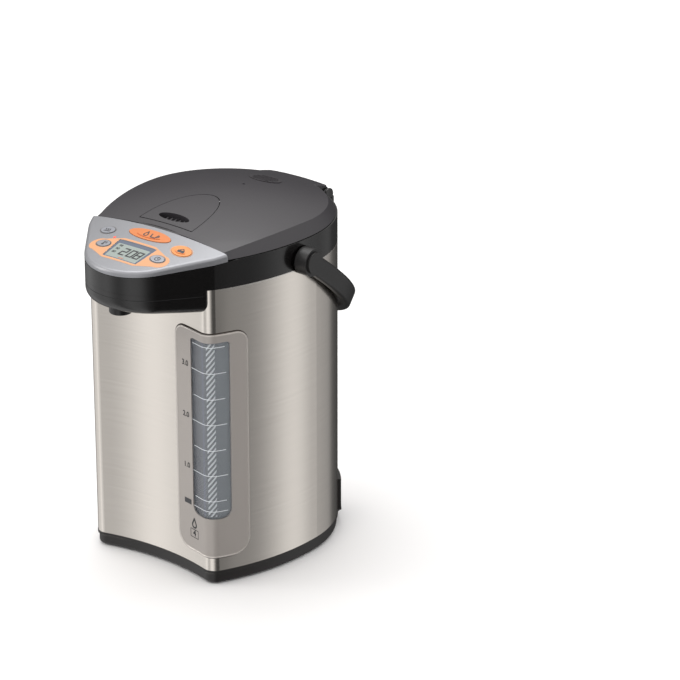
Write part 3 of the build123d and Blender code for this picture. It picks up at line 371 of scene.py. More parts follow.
ink = {
    "strand": finish("pipeStrand", printInk((0.60, 0.635, 0.655))),
    "white": finish("whitePrint", printInk((0.82, 0.85, 0.87))),
    "dark": finish("darkPrint", printInk((0.035, 0.035, 0.04))),
    "band": finish("bandPrint", printInk((0.72, 0.355, 0.17), 0.4)),
    "pale": finish("displayGlass", printInk((0.31, 0.36, 0.335), 0.25)),
    # the frame bead's paler metallic is a painted highlight on the window frame's rounded edge
    "beadHighlight": finish("frameBeadHighlight", metallicPaint((0.62, 0.58, 0.54), 0.28, fleck=0.05, metal=0.6)),
    # the rolled edge's paler steel is a painted highlight along the skin's top edge
    "rolledHighlight": finish("rolledEdgeHighlight", turnedSteel((0.85, 0.82, 0.78), 0.25)),
    # the frame seam's dark ink is a dark joint together with the painted shadow the frame casts on the skin
    "seamAndShadow": finish("frameSeamShadow", printInk((0.045, 0.033, 0.026), 0.5)),
    "black": finish("blackPrint", printInk((0.012, 0.012, 0.013), 0.4)),
    "crescent": finish("keyRidge", printInk((0.62, 0.13, 0.03))),
    "gap": finish("seamShadow", printInk((0.008, 0.008, 0.008), 0.6)),
    "grey": finish("greyPrint", printInk((0.16, 0.15, 0.15))),
}
for part in frame["record"]["subparts"]:
    node = nodes[part["node"]]
    material = paint[part["material_slot"]]
    if not node.material_slots:
        node.data.materials.append(material)
    for holder in node.material_slots:
        holder.material = material
print("stage: finishes laid on the nodes")


trees = {}


def treeOf(node):
    if node not in trees:
        mesh = nodes[node].data
        points = [vert.co for vert in mesh.vertices]
        trees[node] = BVHTree.FromPolygons(points, [face.vertices for face in mesh.polygons])
    return trees[node]


def hit(names, start, aim, reach=0.2):  # the nearest surface point of some nodes, or None
    best, nearest = None, reach
    for name in names:
        point, _, _, far = treeOf(name).ray_cast(start, aim, reach)
        if point is not None and (best is None or far < nearest):
            best, nearest = point, far
    return best


# A print or a thin piece is drawn flat, in millimetres, or in degrees and millimetres round an upright axis.
# It is then draped: spot(x, y) gives each point's start and aim, and the point comes to rest above the
# surface by the lift and its own height.
def drape(bm, names, spot, lift, strict=True):
    lost = []
    for vert in bm.verts:
        start, aim = spot(vert.co.x, vert.co.y)
        found = hit(names, start, aim)
        if found is None:
            lost.append(vert)
        else:
            vert.co = found - aim * ((lift + vert.co.z) * mm)
    if lost and strict:
        raise ValueError("nothing under %d points of a print" % len(lost))
    bmesh.ops.delete(bm, geom=lost, context="VERTS")


def makePiece(bm, name, body, material):
    mesh = bpy.data.meshes.new(name)
    bm.to_mesh(mesh)
    bm.free()
    mesh.materials.append(material)
    for face in mesh.polygons:
        face.use_smooth = True
    piece = bpy.data.objects.new(name, mesh)
    bpy.context.scene.collection.objects.link(piece)
    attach(piece, body)
    return piece


def extrude(bm, faces, move):
    made = bmesh.ops.extrude_face_region(bm, geom=faces)["geom"]
    bmesh.ops.translate(bm, vec=move, verts=[item for item in made if isinstance(item, bmesh.types.BMVert)])


def faceOutwards(bm):
    bmesh.ops.recalc_face_normals(bm, faces=bm.faces[:])


def soften(bm, edges, size, segments=3):
    bmesh.ops.bevel(bm, geom=edges, offset=size * mm, offset_type="OFFSET", segments=segments, profile=0.5,
                    affect="EDGES", material=-1)


def flatEdges(edges, axis, slack):  # the edges whose two ends are at the same place along an axis
    return [edge for edge in edges if abs(edge.verts[0].co[axis] - edge.verts[1].co[axis]) < slack]


def flatGrid(bm, columns, rows, long=1.0, wide=1.0, x=0.0, y=0.0, z=0.0):
    made = bmesh.ops.create_grid(bm, x_segments=columns, y_segments=rows, size=0.5)["verts"]
    bmesh.ops.scale(bm, vec=(long, wide, 1), verts=made)
    bmesh.ops.translate(bm, vec=(x, y, z), verts=made)
    return made


def ovalPlate(bm, halfX, halfY, x=0.0, y=0.0, z=0.0, steps=48):
    made = bmesh.ops.create_circle(bm, cap_ends=True, radius=1.0, segments=steps)["verts"]
    bmesh.ops.scale(bm, vec=(halfX, halfY, 1), verts=made)
    bmesh.ops.translate(bm, vec=(x, y, z), verts=made)
    return made[0].link_faces[0]


def ovalRing(bm, halfX, halfY, width, x=0.0, y=0.0):
    face = ovalPlate(bm, halfX, halfY, x, y)
    bmesh.ops.inset_region(bm, faces=[face], thickness=width, use_even_offset=True, use_boundary=True)
    bmesh.ops.delete(bm, geom=[face], context="FACES_ONLY")


def strokeBar(bm, ax, ay, bx, by, width, past=0.3):  # past is how far it overruns each end, in widths
    made = flatGrid(bm, 1, 1, hypot(bx - ax, by - ay) + 2 * past * width, width)
    turn = Matrix.Rotation(atan2(by - ay, bx - ax), 3, "Z")
    bmesh.ops.rotate(bm, cent=(0, 0, 0), matrix=turn, verts=made)
    bmesh.ops.translate(bm, vec=((ax + bx) / 2, (ay + by) / 2, 0), verts=made)


def arcStroke(bm, x, y, radius, start, end, width, steps=14):  # a bent stroke, spun from a short edge
    ends = [bm.verts.new((x + radius + side * width / 2, y, 0)) for side in (-1, 1)]
    edge = bm.edges.new(ends)
    turn = Matrix.Rotation(radians(start), 3, "Z")
    bmesh.ops.rotate(bm, cent=(x, y, 0), matrix=turn, verts=ends)
    bmesh.ops.spin(bm, geom=[*ends, edge], cent=(x, y, 0), axis=(0, 0, 1), angle=radians(end - start),
                   steps=steps)


def drawSign(bm, sign):
    for stroke in sign.get("bars", ()):
        strokeBar(bm, *stroke)
    for stroke in sign.get("arcs", ()):
        arcStroke(bm, *stroke)
    for x, y, radius in sign.get("discs", ()):
        ovalPlate(bm, radius, radius, x, y, steps=20)
    for x, y, radius, width in sign.get("rings", ()):
        ovalRing(bm, radius, radius, width, x, y)


def figures(text, size, bold):  # plain digits as a flat mesh, centred
    curve = bpy.data.curves.new("digits", "FONT")
    curve.body, curve.size, curve.offset = text, size, bold
    curve.align_x, curve.align_y = "CENTER", "CENTER"
    holder = bpy.data.objects.new("digits", curve)
    bpy.context.scene.collection.objects.link(holder)
    mesh = bpy.data.meshes.new_from_object(holder.evaluated_get(bpy.context.evaluated_depsgraph_get()))
    bpy.data.objects.remove(holder)
    bm = bmesh.new()
    bm.from_mesh(mesh)
    bpy.data.meshes.remove(mesh)
    return bm


panel = {"back": -88.0, "top": 304.6, "slope": radians(12.9), "above": 30.0}
panelUp = Vector((0, -sin(panel["slope"]), cos(panel["slope"])))


def panelSpot(x0, down0):  # a spot on the key panel, x0 to the right and down0 down the slope
    def spot(x, y):
        down = down0 - y
        y1 = panel["back"] - down * cos(panel["slope"])
        z1 = panel["top"] - down * sin(panel["slope"])
        return at(x0 + x, y1, z1) + panelUp * panel["above"] * mm, -panelUp
    return spot


band = {"down": 39.5, "halfX": 41.5, "halfY": 15.4, "endHalf": 8.6, "straight": 17.0, "least": 0.05,
        "lift": 0.06, "columns": 260, "rows": 64, "above": 20.0, "deepest": 1.5,
        "under": ["control_panel", "lcd_window", "temperature_button", "timer_button", "indicator_lens"]}


def bandHalf(x):  # half the band's depth at x: full by the display, round at the ends
    x = abs(x)
    endAt = band["halfX"] - band["endHalf"]
    if x <= band["straight"]:
        return band["halfY"]
    if x <= endAt:
        share = (x - band["straight"]) / (endAt - band["straight"])
        return band["halfY"] + (band["endHalf"] - band["halfY"]) * share
    over = (x - endAt) / band["endHalf"]
    return band["endHalf"] * sqrt(max(0.0, 1 - over * over))


def makeBand():
    bm = bmesh.new()
    bmesh.ops.create_grid(bm, x_segments=band["columns"], y_segments=band["rows"], size=1.0)
    for vert in bm.verts:
        x = band["halfX"] * sin(vert.co.x * pi / 2)
        vert.co = Vector((x, vert.co.y * max(band["least"], bandHalf(x)), 0))
    drape(bm, band["under"], panelSpot(0, band["down"]), band["lift"], strict=False)
    covered = []  # what lies over the keys and the display is cut away
    reach = (band["above"] + band["deepest"]) * mm
    for face in bm.faces:
        start = face.calc_center_median() + panelUp * band["above"] * mm
        if hit(["control_panel"], start, -panelUp, reach) is None:
            covered.append(face)
    bmesh.ops.delete(bm, geom=covered, context="FACES")
    makePiece(bm, "displayBand", "pot", ink["band"])


# bars are (x, y, x, y, width), arcs (x, y, radius, from, to, width), discs (x, y, radius) and rings
# (x, y, radius, width)
signs = {
    "pour": {
        "bars": [(-3.8, 0.1, -2.6, 2.6, 0.8), (-1.4, 0.1, -2.6, 2.6, 0.8), (1.0, 1.4, 1.7, -1.6, 0.9),
                 (5.6, 1.4, 4.9, -1.6, 0.9), (1.7, -1.6, 4.9, -1.6, 0.9)],
        "arcs": [(-2.6, -0.4, 1.3, 150, 390, 0.8), (5.5, 0.2, 1.1, -80, 80, 0.7)],
    },
    "padlock": {"bars": [(-1.7, -0.6, 1.7, -0.6, 2.2)], "arcs": [(0.0, 0.5, 1.2, 0, 180, 0.7)]},
    "steam": {
        "bars": [(-2.6, -1.6, 2.6, -1.6, 0.8)],
        "arcs": [(x, 0.9, 0.55, 90, 270, 0.6) for x in (-1.8, 0.0, 1.8)]
        + [(x, -0.2, 0.55, -90, 90, 0.6) for x in (-1.8, 0.0, 1.8)],
    },
    "thermometer": {
        "bars": [(0.0, -0.4, 0.0, 2.2, 1.1)] + [(1.3, y, 2.4, y, 0.5) for y in (0.4, 1.2, 2.0)],
        "discs": [(0.0, -1.2, 1.0)],
    },
    "clock": {
        "bars": [(0.0, 0.0, 0.0, 1.3, 0.6), (0.0, 0.0, 1.0, -0.3, 0.6)],
        "rings": [(0.0, 0.0, 2.3, 0.65)],
    },
}
keys = {
    "dispense_button": {"spot": (0.0, 12.0), "half": (22.0, 7.0), "sign": "pour", "grow": 1.45,
                        "ridged": True, "outline": None},
    "unlock_button": {"spot": (39.5, 18.5), "half": (9.5, 6.5), "sign": "padlock", "grow": 1.45,
                      "ridged": True, "outline": "band"},
    "reboil_button": {"spot": (-41.0, 18.5), "half": (7.0, 5.0), "sign": "steam", "grow": 1.2,
                      "ridged": False, "outline": "grey"},
    "temperature_button": {"spot": (-29.5, 37.5), "half": (6.5, 4.5), "sign": "thermometer", "grow": 1.2,
                           "ridged": False, "outline": "grey"},
    "timer_button": {"spot": (29.5, 37.5), "half": (6.5, 4.5), "sign": "clock", "grow": 1.2,
                     "ridged": False, "outline": "grey"},
}
icon = {"lift": 0.05}
ridge = {"from": 205, "to": 335, "wide": 0.11, "steps": 26, "taper": 0.8, "halfTurn": 65, "share": 0.62,
         "high": 0.3, "lift": 0.04}
outline = {"gap": 1.1, "wide": 0.55, "lift": 0.12}


def makeIcon(name, key):
    bm = bmesh.new()
    drawSign(bm, signs[key["sign"]])
    bmesh.ops.scale(bm, vec=(key["grow"], key["grow"], 1), verts=bm.verts[:])
    drape(bm, [name], panelSpot(*key["spot"]), icon["lift"])
    makePiece(bm, name.replace("_button", "Icon"), name, ink["dark"])


def makeRidge(name, key):  # the raised smile under an icon, thin at both ends
    bm = bmesh.new()
    arcStroke(bm, 0, 0, 1.0, ridge["from"], ridge["to"], ridge["wide"], ridge["steps"])
    halfX, halfY = (half * ridge["share"] for half in key["half"])
    for vert in bm.verts:
        fromMiddle = abs(degrees(atan2(vert.co.x, -vert.co.y)) / ridge["halfTurn"])
        reach = 1 + (hypot(vert.co.x, vert.co.y) - 1) * (1 - ridge["taper"] * fromMiddle ** 3)
        turn = atan2(vert.co.y, vert.co.x)
        vert.co = Vector((cos(turn) * reach * halfX, sin(turn) * reach * halfY, 0))
    extrude(bm, bm.faces[:], (0, 0, ridge["high"]))
    drape(bm, [name], panelSpot(*key["spot"]), ridge["lift"])
    faceOutwards(bm)
    makePiece(bm, name.replace("_button", "Ridge"), name, ink["crescent"])


def makeOutline(name, key):
    bm = bmesh.new()
    halfX, halfY = key["half"]
    ovalRing(bm, halfX + outline["gap"], halfY + outline["gap"], outline["wide"])
    drape(bm, ["control_panel"], panelSpot(*key["spot"]), outline["lift"])
    makePiece(bm, name.replace("_button", "Outline"), "pot", ink[key["outline"]])


def dressKeys():
    for name, key in keys.items():
        makeIcon(name, key)
        if key["ridged"]:
            makeRidge(name, key)
        if key["outline"]:
            makeOutline(name, key)


display = {
    "down": 39.5, "lift": 0.08,
    "fieldLong": 33.4, "fieldWide": 19.6, "bezelShadowShift": -1.9, "fieldFlare": 0.0022, "fieldLift": 0.04,
    "fieldColumns": 24, "fieldRows": 8,
    "digits": (("2", -5.4), ("0", 2.6), ("8", 9.6)), "digitLow": -6.2, "digitHigh": 9.2, "digitWide": 4.816,
    "digitBar": 1.5, "slant": 0.12,
    "settings": (("98", 5.0), ("90", 0.2), ("80", -4.6)), "settingX": -12.4, "settingSize": 3.9,
    "settingBold": 0.10, "pointer": (-2.4, -10.4, 2.4, -10.4, 0.8),
}
segments = {"0": "abcdef", "2": "abged", "8": "abcdefg"}


def drawDigit(bm, mark, x, y):  # a seven-segment digit with its low left corner at x, y
    wide, high = display["digitWide"], display["digitHigh"]
    half = high / 2
    ends = {
        "a": (0, high, wide, high), "b": (wide, high, wide, half), "c": (wide, half, wide, 0),
        "d": (0, 0, wide, 0), "e": (0, half, 0, 0), "f": (0, high, 0, half), "g": (0, half, wide, half),
    }
    for letter in segments[mark]:
        ax, ay, bx, by = ends[letter]
        strokeBar(bm, x + ax, y + ay, x + bx, y + by, display["digitBar"])


def makeDisplay():
    spot = panelSpot(0, display["down"])
    bm = bmesh.new()  # the pale field, inside the window's slate border; shifted forward, it leaves a wider band of the dark pane at the back as a painted shadow of the bezel
    flatGrid(bm, display["fieldColumns"], display["fieldRows"], display["fieldLong"], display["fieldWide"],
             y=display["bezelShadowShift"])
    for vert in bm.verts:
        vert.co.x *= 1 + vert.co.y * display["fieldFlare"]
    drape(bm, ["lcd_window"], spot, display["fieldLift"])
    makePiece(bm, "displayField", "pot", ink["pale"])
    bm = bmesh.new()
    for mark, x in display["digits"]:
        drawDigit(bm, mark, x, display["digitLow"])
    for vert in bm.verts:
        vert.co.x += vert.co.y * display["slant"]
    drape(bm, ["lcd_window"], spot, display["lift"])
    makePiece(bm, "displayDigits", "pot", ink["black"])
    for text, y in display["settings"]:
        bm = figures(text, display["settingSize"], display["settingBold"])
        bmesh.ops.translate(bm, vec=(display["settingX"], y, 0), verts=bm.verts[:])
        drape(bm, ["lcd_window"], spot, display["lift"])
        makePiece(bm, "setting" + text, "pot", ink["black"])
    bm = bmesh.new()
    strokeBar(bm, *display["pointer"])
    drape(bm, ["lcd_window"], spot, display["lift"])
    makePiece(bm, "displayPointer", "pot", ink["crescent"])


makeBand()
dressKeys()
makeDisplay()
print("stage: panel printed")

rays = {"front": -140.0, "side": 120.0, "corner": 60.0, "round": 130.0}  # where the rays at the body begin


def frontSpot(x0, z0):  # a spot seen from the front
    def spot(x, y):
        return at(x0 + x, rays["front"], z0 + y), Vector((0, 1, 0))
    return spot


def cornerSpot(turn, z):  # a spot seen square on round the front corner, at a turn in degrees and a height
    way = outward(turn)
    return at(*frontCorner, z) + way * rays["corner"] * mm, -way


level = {"from": -115.0, "to": -9.0, "half": 0.24, "zero": 55.4, "perLitre": 46.75, "refill": 69.2,
         "halfLitres": 7, "wholeShort": 6.0, "halfShort": 9.0, "halfLate": 7.0, "columns": 44, "lift": 0.12,
         "litres": (1, 2, 3), "figureX": 36.6, "figureRise": 2.0, "figureSize": 6.6, "figureBold": 0.16,
         "printLift": 0.08, "patch": (-3.0, 0.0, 3.0, 0.0, 4.6), "patchX": 37.2, "patchRise": 1.5}


def levelMark(bm, z, first, last):
    flatGrid(bm, level["columns"], 1, last - first, 2 * level["half"], (first + last) / 2, z)


def makeLevels():
    bm = bmesh.new()
    for halves in range(1, level["halfLitres"] + 1):
        z = level["zero"] + level["perLitre"] * halves / 2
        if halves % 2 == 0:
            levelMark(bm, z, level["from"], level["to"] - level["wholeShort"])
        else:
            levelMark(bm, z, level["from"] + level["halfLate"], level["to"] - level["halfShort"])
    levelMark(bm, level["refill"], level["from"], level["to"] - level["wholeShort"])
    drape(bm, ["window_lens"], cornerSpot, level["lift"])
    makePiece(bm, "levelMarks", "pot", ink["white"])
    for litres in level["litres"]:
        bm = figures("%d.0" % litres, level["figureSize"], level["figureBold"])
        z = level["zero"] + level["perLitre"] * litres + level["figureRise"]
        drape(bm, ["window_frame"], frontSpot(level["figureX"], z), level["printLift"])
        makePiece(bm, "litre%d" % litres, "pot", ink["black"])
    bm = bmesh.new()
    strokeBar(bm, *level["patch"])
    spot = frontSpot(level["patchX"], level["refill"] + level["patchRise"])
    drape(bm, ["window_frame"], spot, level["printLift"])
    makePiece(bm, "refillPatch", "pot", ink["dark"])


stripes = {"turn": -50.5, "half": 10.5, "rise": 9.5, "pitch": 5.2, "wide": 2.3, "first": 60.0, "last": 226.0,
           "cutLow": 63.6, "cutHigh": 221.6, "columns": 10, "lift": 0.12}


def makeStripes():  # the twisted white pattern of the level pipe, seen in the pane
    bm = bmesh.new()
    z = stripes["first"]
    while z < stripes["last"]:
        for vert in flatGrid(bm, stripes["columns"], 1):
            share, across = vert.co.x, vert.co.y
            turn = stripes["turn"] + 2 * stripes["half"] * share
            vert.co = Vector((turn, z + stripes["rise"] * share + stripes["wide"] * across, 0))
        z += stripes["pitch"]
    for side, cut in ((-1, stripes["cutLow"]), (1, stripes["cutHigh"])):
        bmesh.ops.bisect_plane(bm, geom=bm.verts[:] + bm.edges[:] + bm.faces[:], plane_co=(0, cut, 0),
                               plane_no=(0, side, 0), clear_outer=True)
    drape(bm, ["window_backing"], cornerSpot, stripes["lift"])
    makePiece(bm, "tubeStripes", "pot", ink["strand"])


trim = {"x0": -27.5, "x1": 40.5, "y0": 26.0, "y1": 230.5, "low": 15.0, "high": 10.0, "bendLong": 28.0,
        "cornerSteps": 8, "cutsAcross": 50, "cutsUp": 12, "merge": 0.001, "slack": 0.01,
        "beadGrow": -0.25, "beadSteps": ((0.35, 0.35), (0.45, 0.0), (0.4, -0.35)), "beadLift": 0.03,
        "seamGrow": 1.0, "seamSteps": ((0.95, 0.0),), "seamLift": 0.1}


def wrapSpot(x, y):  # x runs in millimetres round the front corner, from the nose side to the hinge side
    cornerX, cornerY = frontCorner
    if x < 0:
        return at(cornerX + x, rays["front"], y), Vector((0, 1, 0))
    if x > trim["bendLong"]:
        return at(rays["side"], cornerY + x - trim["bendLong"], y), Vector((-1, 0, 0))
    return cornerSpot(90 * x / trim["bendLong"] - 90, y)


def roundedPlate(bm, grow):  # the window frame's outline, flat, its lower corners bent wider than the upper
    x0, x1 = trim["x0"] - grow, trim["x1"] + grow
    y0, y1 = trim["y0"] - grow, trim["y1"] + grow
    made = flatGrid(bm, 1, 1)
    for vert in made:
        vert.co.x = x1 if vert.co.x > 0 else x0
        vert.co.y = y1 if vert.co.y > 0 else y0
    lower = [vert for vert in made if vert.co.y < (y0 + y1) / 2]
    upper = [vert for vert in made if vert.co.y > (y0 + y1) / 2]
    for corners, radius in ((lower, trim["low"] + grow), (upper, trim["high"] + grow)):
        bmesh.ops.bevel(bm, geom=corners, offset=radius, offset_type="OFFSET", segments=trim["cornerSteps"],
                        profile=0.5, affect="VERTICES", material=-1)
    bmesh.ops.remove_doubles(bm, verts=bm.verts[:], dist=trim["merge"])
    bmesh.ops.subdivide_edges(bm, edges=flatEdges(bm.edges, 1, trim["slack"]), cuts=trim["cutsAcross"])
    bmesh.ops.subdivide_edges(bm, edges=flatEdges(bm.edges, 0, trim["slack"]), cuts=trim["cutsUp"])
    return bm.faces[:]


def edgeRing(grow, steps):  # a ring along the frame's outline, stepped by insets of a width and a height
    bm = bmesh.new()
    face = roundedPlate(bm, grow)
    for width, high in steps:
        bmesh.ops.inset_region(bm, faces=face, thickness=width, depth=high, use_even_offset=True,
                               use_boundary=True)
    bmesh.ops.delete(bm, geom=face, context="FACES")
    return bm


def makeTrim():
    bm = edgeRing(trim["beadGrow"], trim["beadSteps"])  # the bead just inside the edge, paler than the frame: a painted highlight on its rounded edge
    drape(bm, ["window_frame"], wrapSpot, trim["beadLift"])
    makePiece(bm, "frameBeadHighlight", "pot", ink["beadHighlight"])
    bm = edgeRing(trim["seamGrow"], trim["seamSteps"])  # the dark line where the frame meets the skin: a dark joint, widened into a painted shadow of the raised frame
    drape(bm, ["body_shell"], wrapSpot, trim["seamLift"])
    makePiece(bm, "frameSeamShadow", "pot", ink["seamAndShadow"])


capacity = {"x": 45.0, "z": 43.0, "figure": "4", "size": 7.6, "bold": 0.2, "drop": 0.4, "lift": 0.08,
            "bars": [(-2.3, 8.8, 0.0, 13.4, 1.5), (2.3, 8.8, 0.0, 13.4, 1.5), (-5, -4.2, 5, -4.2, 0.6),
                     (-5, 3.2, 5, 3.2, 0.6), (-5, -4.2, -5, 3.2, 0.6), (5, -4.2, 5, 3.2, 0.6)],
            "arcs": [(0.0, 7.6, 2.6, 150, 390, 1.5)]}


def makeCapacity():  # a plain sign for four litres: a drop over a boxed figure
    spot = frontSpot(capacity["x"], capacity["z"])
    bm = bmesh.new()
    drawSign(bm, capacity)
    drape(bm, ["window_frame"], spot, capacity["lift"])
    makePiece(bm, "capacitySign", "pot", ink["black"])
    bm = figures(capacity["figure"], capacity["size"], capacity["bold"])
    bmesh.ops.translate(bm, vec=(0, -capacity["drop"], 0), verts=bm.verts[:])
    drape(bm, ["window_frame"], spot, capacity["lift"])
    makePiece(bm, "capacityDigit", "pot", ink["black"])


makeLevels()
makeStripes()
makeTrim()
makeCapacity()
print("stage: level window marked")

strips = {
    "noseSeam": {"node": "nose_cover", "middle": -103.5, "from": -177, "to": -3, "z": 265.2, "half": 0.22,
                 "columns": 150, "lift": 0.06, "slot": "collar_gloss", "ink": "gap"},
    # the skin's rolled top edge, drawn as a flat strip of paler steel: a painted highlight
    "skinEdgeHighlight": {"node": "body_shell", "middle": 0, "from": -53, "to": 233, "z": 269.35, "half": 0.45,
                 "columns": 150, "lift": 0.15, "slot": "brushed_steel_body", "ink": "rolledHighlight"},
}


def roundSpot(middle):  # a spot seen square on from round an upright axis
    def spot(turn, z):
        way = outward(turn)
        return at(0, middle, z) + way * rays["round"] * mm, -way
    return spot


def makeStrip(name):  # a thin band round an upright axis
    strip = strips[name]
    first, last = strip["from"], strip["to"]
    bm = bmesh.new()
    flatGrid(bm, strip["columns"], 1, last - first, 2 * strip["half"], (first + last) / 2, strip["z"])
    drape(bm, [strip["node"]], roundSpot(strip["middle"]), strip["lift"])
    makePiece(bm, name, "pot", ink[strip["ink"]])


baseLip = {"rows": ((10.3, 0.35), (12.9, 0.35), (13.2, 0.2), (13.3, -0.1)), "rayLow": 10.8, "columns": 360,
           "over": ["body_shell", "base_trim", "power_inlet"]}
sameSpot = 1e-6  # two points of a finished mesh, in metres, that count as one


def makeBaseLip():  # the base band's lip, lapped over the skin's foot: each row has a height and a lift
    bm = bmesh.new()
    rows = baseLip["rows"]
    last = len(rows) - 1
    for vert in flatGrid(bm, baseLip["columns"], last):
        z, lift = rows[round((vert.co.y + 0.5) * last)]
        vert.co = Vector((vert.co.x * 360, z, lift))
    square = roundSpot(0)
    drape(bm, baseLip["over"], lambda turn, z: square(turn, max(z, baseLip["rayLow"])), 0.0)
    bmesh.ops.remove_doubles(bm, verts=bm.verts[:], dist=sameSpot)
    makePiece(bm, "baseLip", "pot", paint["base_plastic"])


# the hinge: a low block with round cheeks on the pot, its pin, and the lid's own tab and lugs
hinge = {"half": 34.8, "front": 88.0, "back": 102.6, "low": 272.6, "sill": 286.5, "wallThick": 1.6,
         "edge": 0.8, "cheek": 2.1, "cheekRound": 5.6, "cheekEdge": 0.7, "cheekSteps": 40,
         "pinY": 96.0, "pinZ": 289.0, "pinRadius": 2.0, "pinShort": 1.0, "pinEdge": 0.3, "pinSteps": 32,
         "padHalf": 16.0, "padFront": 102.0, "padBack": 107.0, "padLow": 273.0, "padHigh": 285.2}


def blockOf(bm, x0, x1, y0, y1, z0, z1):
    for vert in bmesh.ops.create_cube(bm, size=1.0)["verts"]:
        vert.co = at(x1 if vert.co.x > 0 else x0, y1 if vert.co.y > 0 else y0, z1 if vert.co.z > 0 else z0)


def rodOf(bm, x, radius, long, steps, edge, segments=3):  # a rod on the pin's line, its two rims softened
    made = bmesh.ops.create_cone(bm, cap_ends=True, segments=steps, radius1=radius * mm, radius2=radius * mm,
                                 depth=long * mm)["verts"]
    bmesh.ops.rotate(bm, cent=(0, 0, 0), matrix=Matrix.Rotation(pi / 2, 3, "Y"), verts=made)
    bmesh.ops.translate(bm, vec=at(x, hinge["pinY"], hinge["pinZ"]), verts=made)
    rims = flatEdges({rim for vert in made for rim in vert.link_edges}, 0, sameSpot)
    soften(bm, rims, edge, segments)


def makeHingeBlock():
    half, cheek = hinge["half"], hinge["cheek"]
    bm = bmesh.new()
    blockOf(bm, -half, half, hinge["back"] - hinge["wallThick"], hinge["back"], hinge["low"], hinge["sill"])
    blockOf(bm, -hinge["padHalf"], hinge["padHalf"], hinge["padFront"], hinge["padBack"], hinge["padLow"],
            hinge["padHigh"])  # the pad round the catch
    for x in (-half, half - cheek):
        blockOf(bm, x, x + cheek, hinge["front"], hinge["back"], hinge["low"], hinge["sill"])
    soften(bm, bm.edges[:], hinge["edge"])
    for side in (-1, 1):
        middle = side * (half - cheek / 2)
        rodOf(bm, middle, hinge["cheekRound"], cheek, hinge["cheekSteps"], hinge["cheekEdge"])
    faceOutwards(bm)
    piece = makePiece(bm, "hingeBlock", "pot", paint["collar_gloss"])
    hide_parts("hinge_housing")


def makeHingePin():
    bm = bmesh.new()
    long = 2 * hinge["half"] - hinge["pinShort"]
    rodOf(bm, 0, hinge["pinRadius"], long, hinge["pinSteps"], hinge["pinEdge"], segments=2)
    piece = makePiece(bm, "hingePin", "pot", paint["screw_steel"])
    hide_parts("lid_hinge_pin")


crown = {"radius": 380.0, "top": 313.5, "middle": -10.0}  # the lid's domed top
tab = {"half": 31.5, "back": 96.2, "front": 81.0, "thick": 2.2, "edge": 0.7, "columns": 24, "rows": 8,
       "sharp": 1.0}  # edges that turn by more than so many radians are softened
lug = {"thick": 2.2, "inset": 0.2, "edge": 0.5,
       "outline": [(83.0, 288.0), (83.0, 299.3), (87.0, 298.5), (91.0, 297.6), (95.0, 296.3), (96.8, 295.4),
                   (98.3, 293.9), (99.3, 291.8), (99.6, 289.6), (99.2, 287.5), (97.9, 285.9), (95.8, 285.3),
                   (91.0, 286.8)]}


def makeLidTab():  # the tab follows the lid's crown
    bm = bmesh.new()
    for vert in flatGrid(bm, tab["columns"], tab["rows"]):
        x = vert.co.x * 2 * tab["half"]
        y = tab["front"] + (vert.co.y + 0.5) * (tab["back"] - tab["front"])
        rise = sqrt(crown["radius"] ** 2 - x ** 2 - (y - crown["middle"]) ** 2)
        vert.co = at(x, y, crown["top"] - crown["radius"] + rise)
    extrude(bm, bm.faces[:], (0, 0, -tab["thick"] * mm))
    faceOutwards(bm)
    walled = [edge for edge in bm.edges if len(edge.link_faces) == 2]
    sharp = [edge for edge in walled if edge.calc_face_angle() > tab["sharp"]]
    soften(bm, sharp, tab["edge"])
    makePiece(bm, "lidTab", "lid", paint["lid_grey"])


def makeLidLugs():  # two lugs close the tab's ends and hold the pin
    bm = bmesh.new()
    reach = tab["half"] - lug["inset"]
    for side in (-1, 1):
        face = bm.faces.new([bm.verts.new(at(side * reach, y, z)) for y, z in lug["outline"]])
        extrude(bm, [face], (-side * lug["thick"] * mm, 0, 0))
    faceOutwards(bm)
    soften(bm, flatEdges(bm.edges, 0, sameSpot), lug["edge"], segments=2)
    makePiece(bm, "lidLugs", "lid", paint["collar_gloss"])


finger = {"y": -69.0, "above": 330.0, "halfX": 16.2, "halfY": 5.7, "high": 7.5, "sunk": 0.3, "steps": 64,
          "ribs": (-9.0, -4.5, 0.0, 4.5, 9.0), "ribWide": 1.3, "ribLong": 7.4, "ribHigh": 1.3,
          "ribDeep": 1.8, "ribRows": 8}


def fingerSpot(x, y):
    return at(x, finger["y"] + y, finger["above"]), Vector((0, 0, -1))


def makeFingerRecess():  # a ribbed floor in the recess under the lever's opening
    bm = bmesh.new()
    ovalPlate(bm, finger["halfX"], finger["halfY"], z=finger["high"], steps=finger["steps"])
    extrude(bm, bm.faces[:], (0, 0, -finger["high"] - finger["sunk"]))
    faceOutwards(bm)
    drape(bm, ["lid_top"], fingerSpot, 0.0)
    makePiece(bm, "fingerPad", "lid", paint["vent_dark"])
    for number, x in enumerate(finger["ribs"]):
        bm = bmesh.new()
        top = finger["high"] + finger["ribHigh"]
        flatGrid(bm, 1, finger["ribRows"], finger["ribWide"], finger["ribLong"], x, z=top)
        extrude(bm, bm.faces[:], (0, 0, -finger["ribDeep"]))
        faceOutwards(bm)
        drape(bm, ["lid_top"], fingerSpot, 0.0)
        makePiece(bm, "fingerRib%d" % number, "lid", paint["vent_dark"])


makeStrip("noseSeam")
makeBaseLip()
makeStrip("skinEdgeHighlight")
makeHingeBlock()
makeHingePin()
makeLidTab()
makeLidLugs()
makeFingerRecess()
print("stage: seams, hinge and recess dressed")

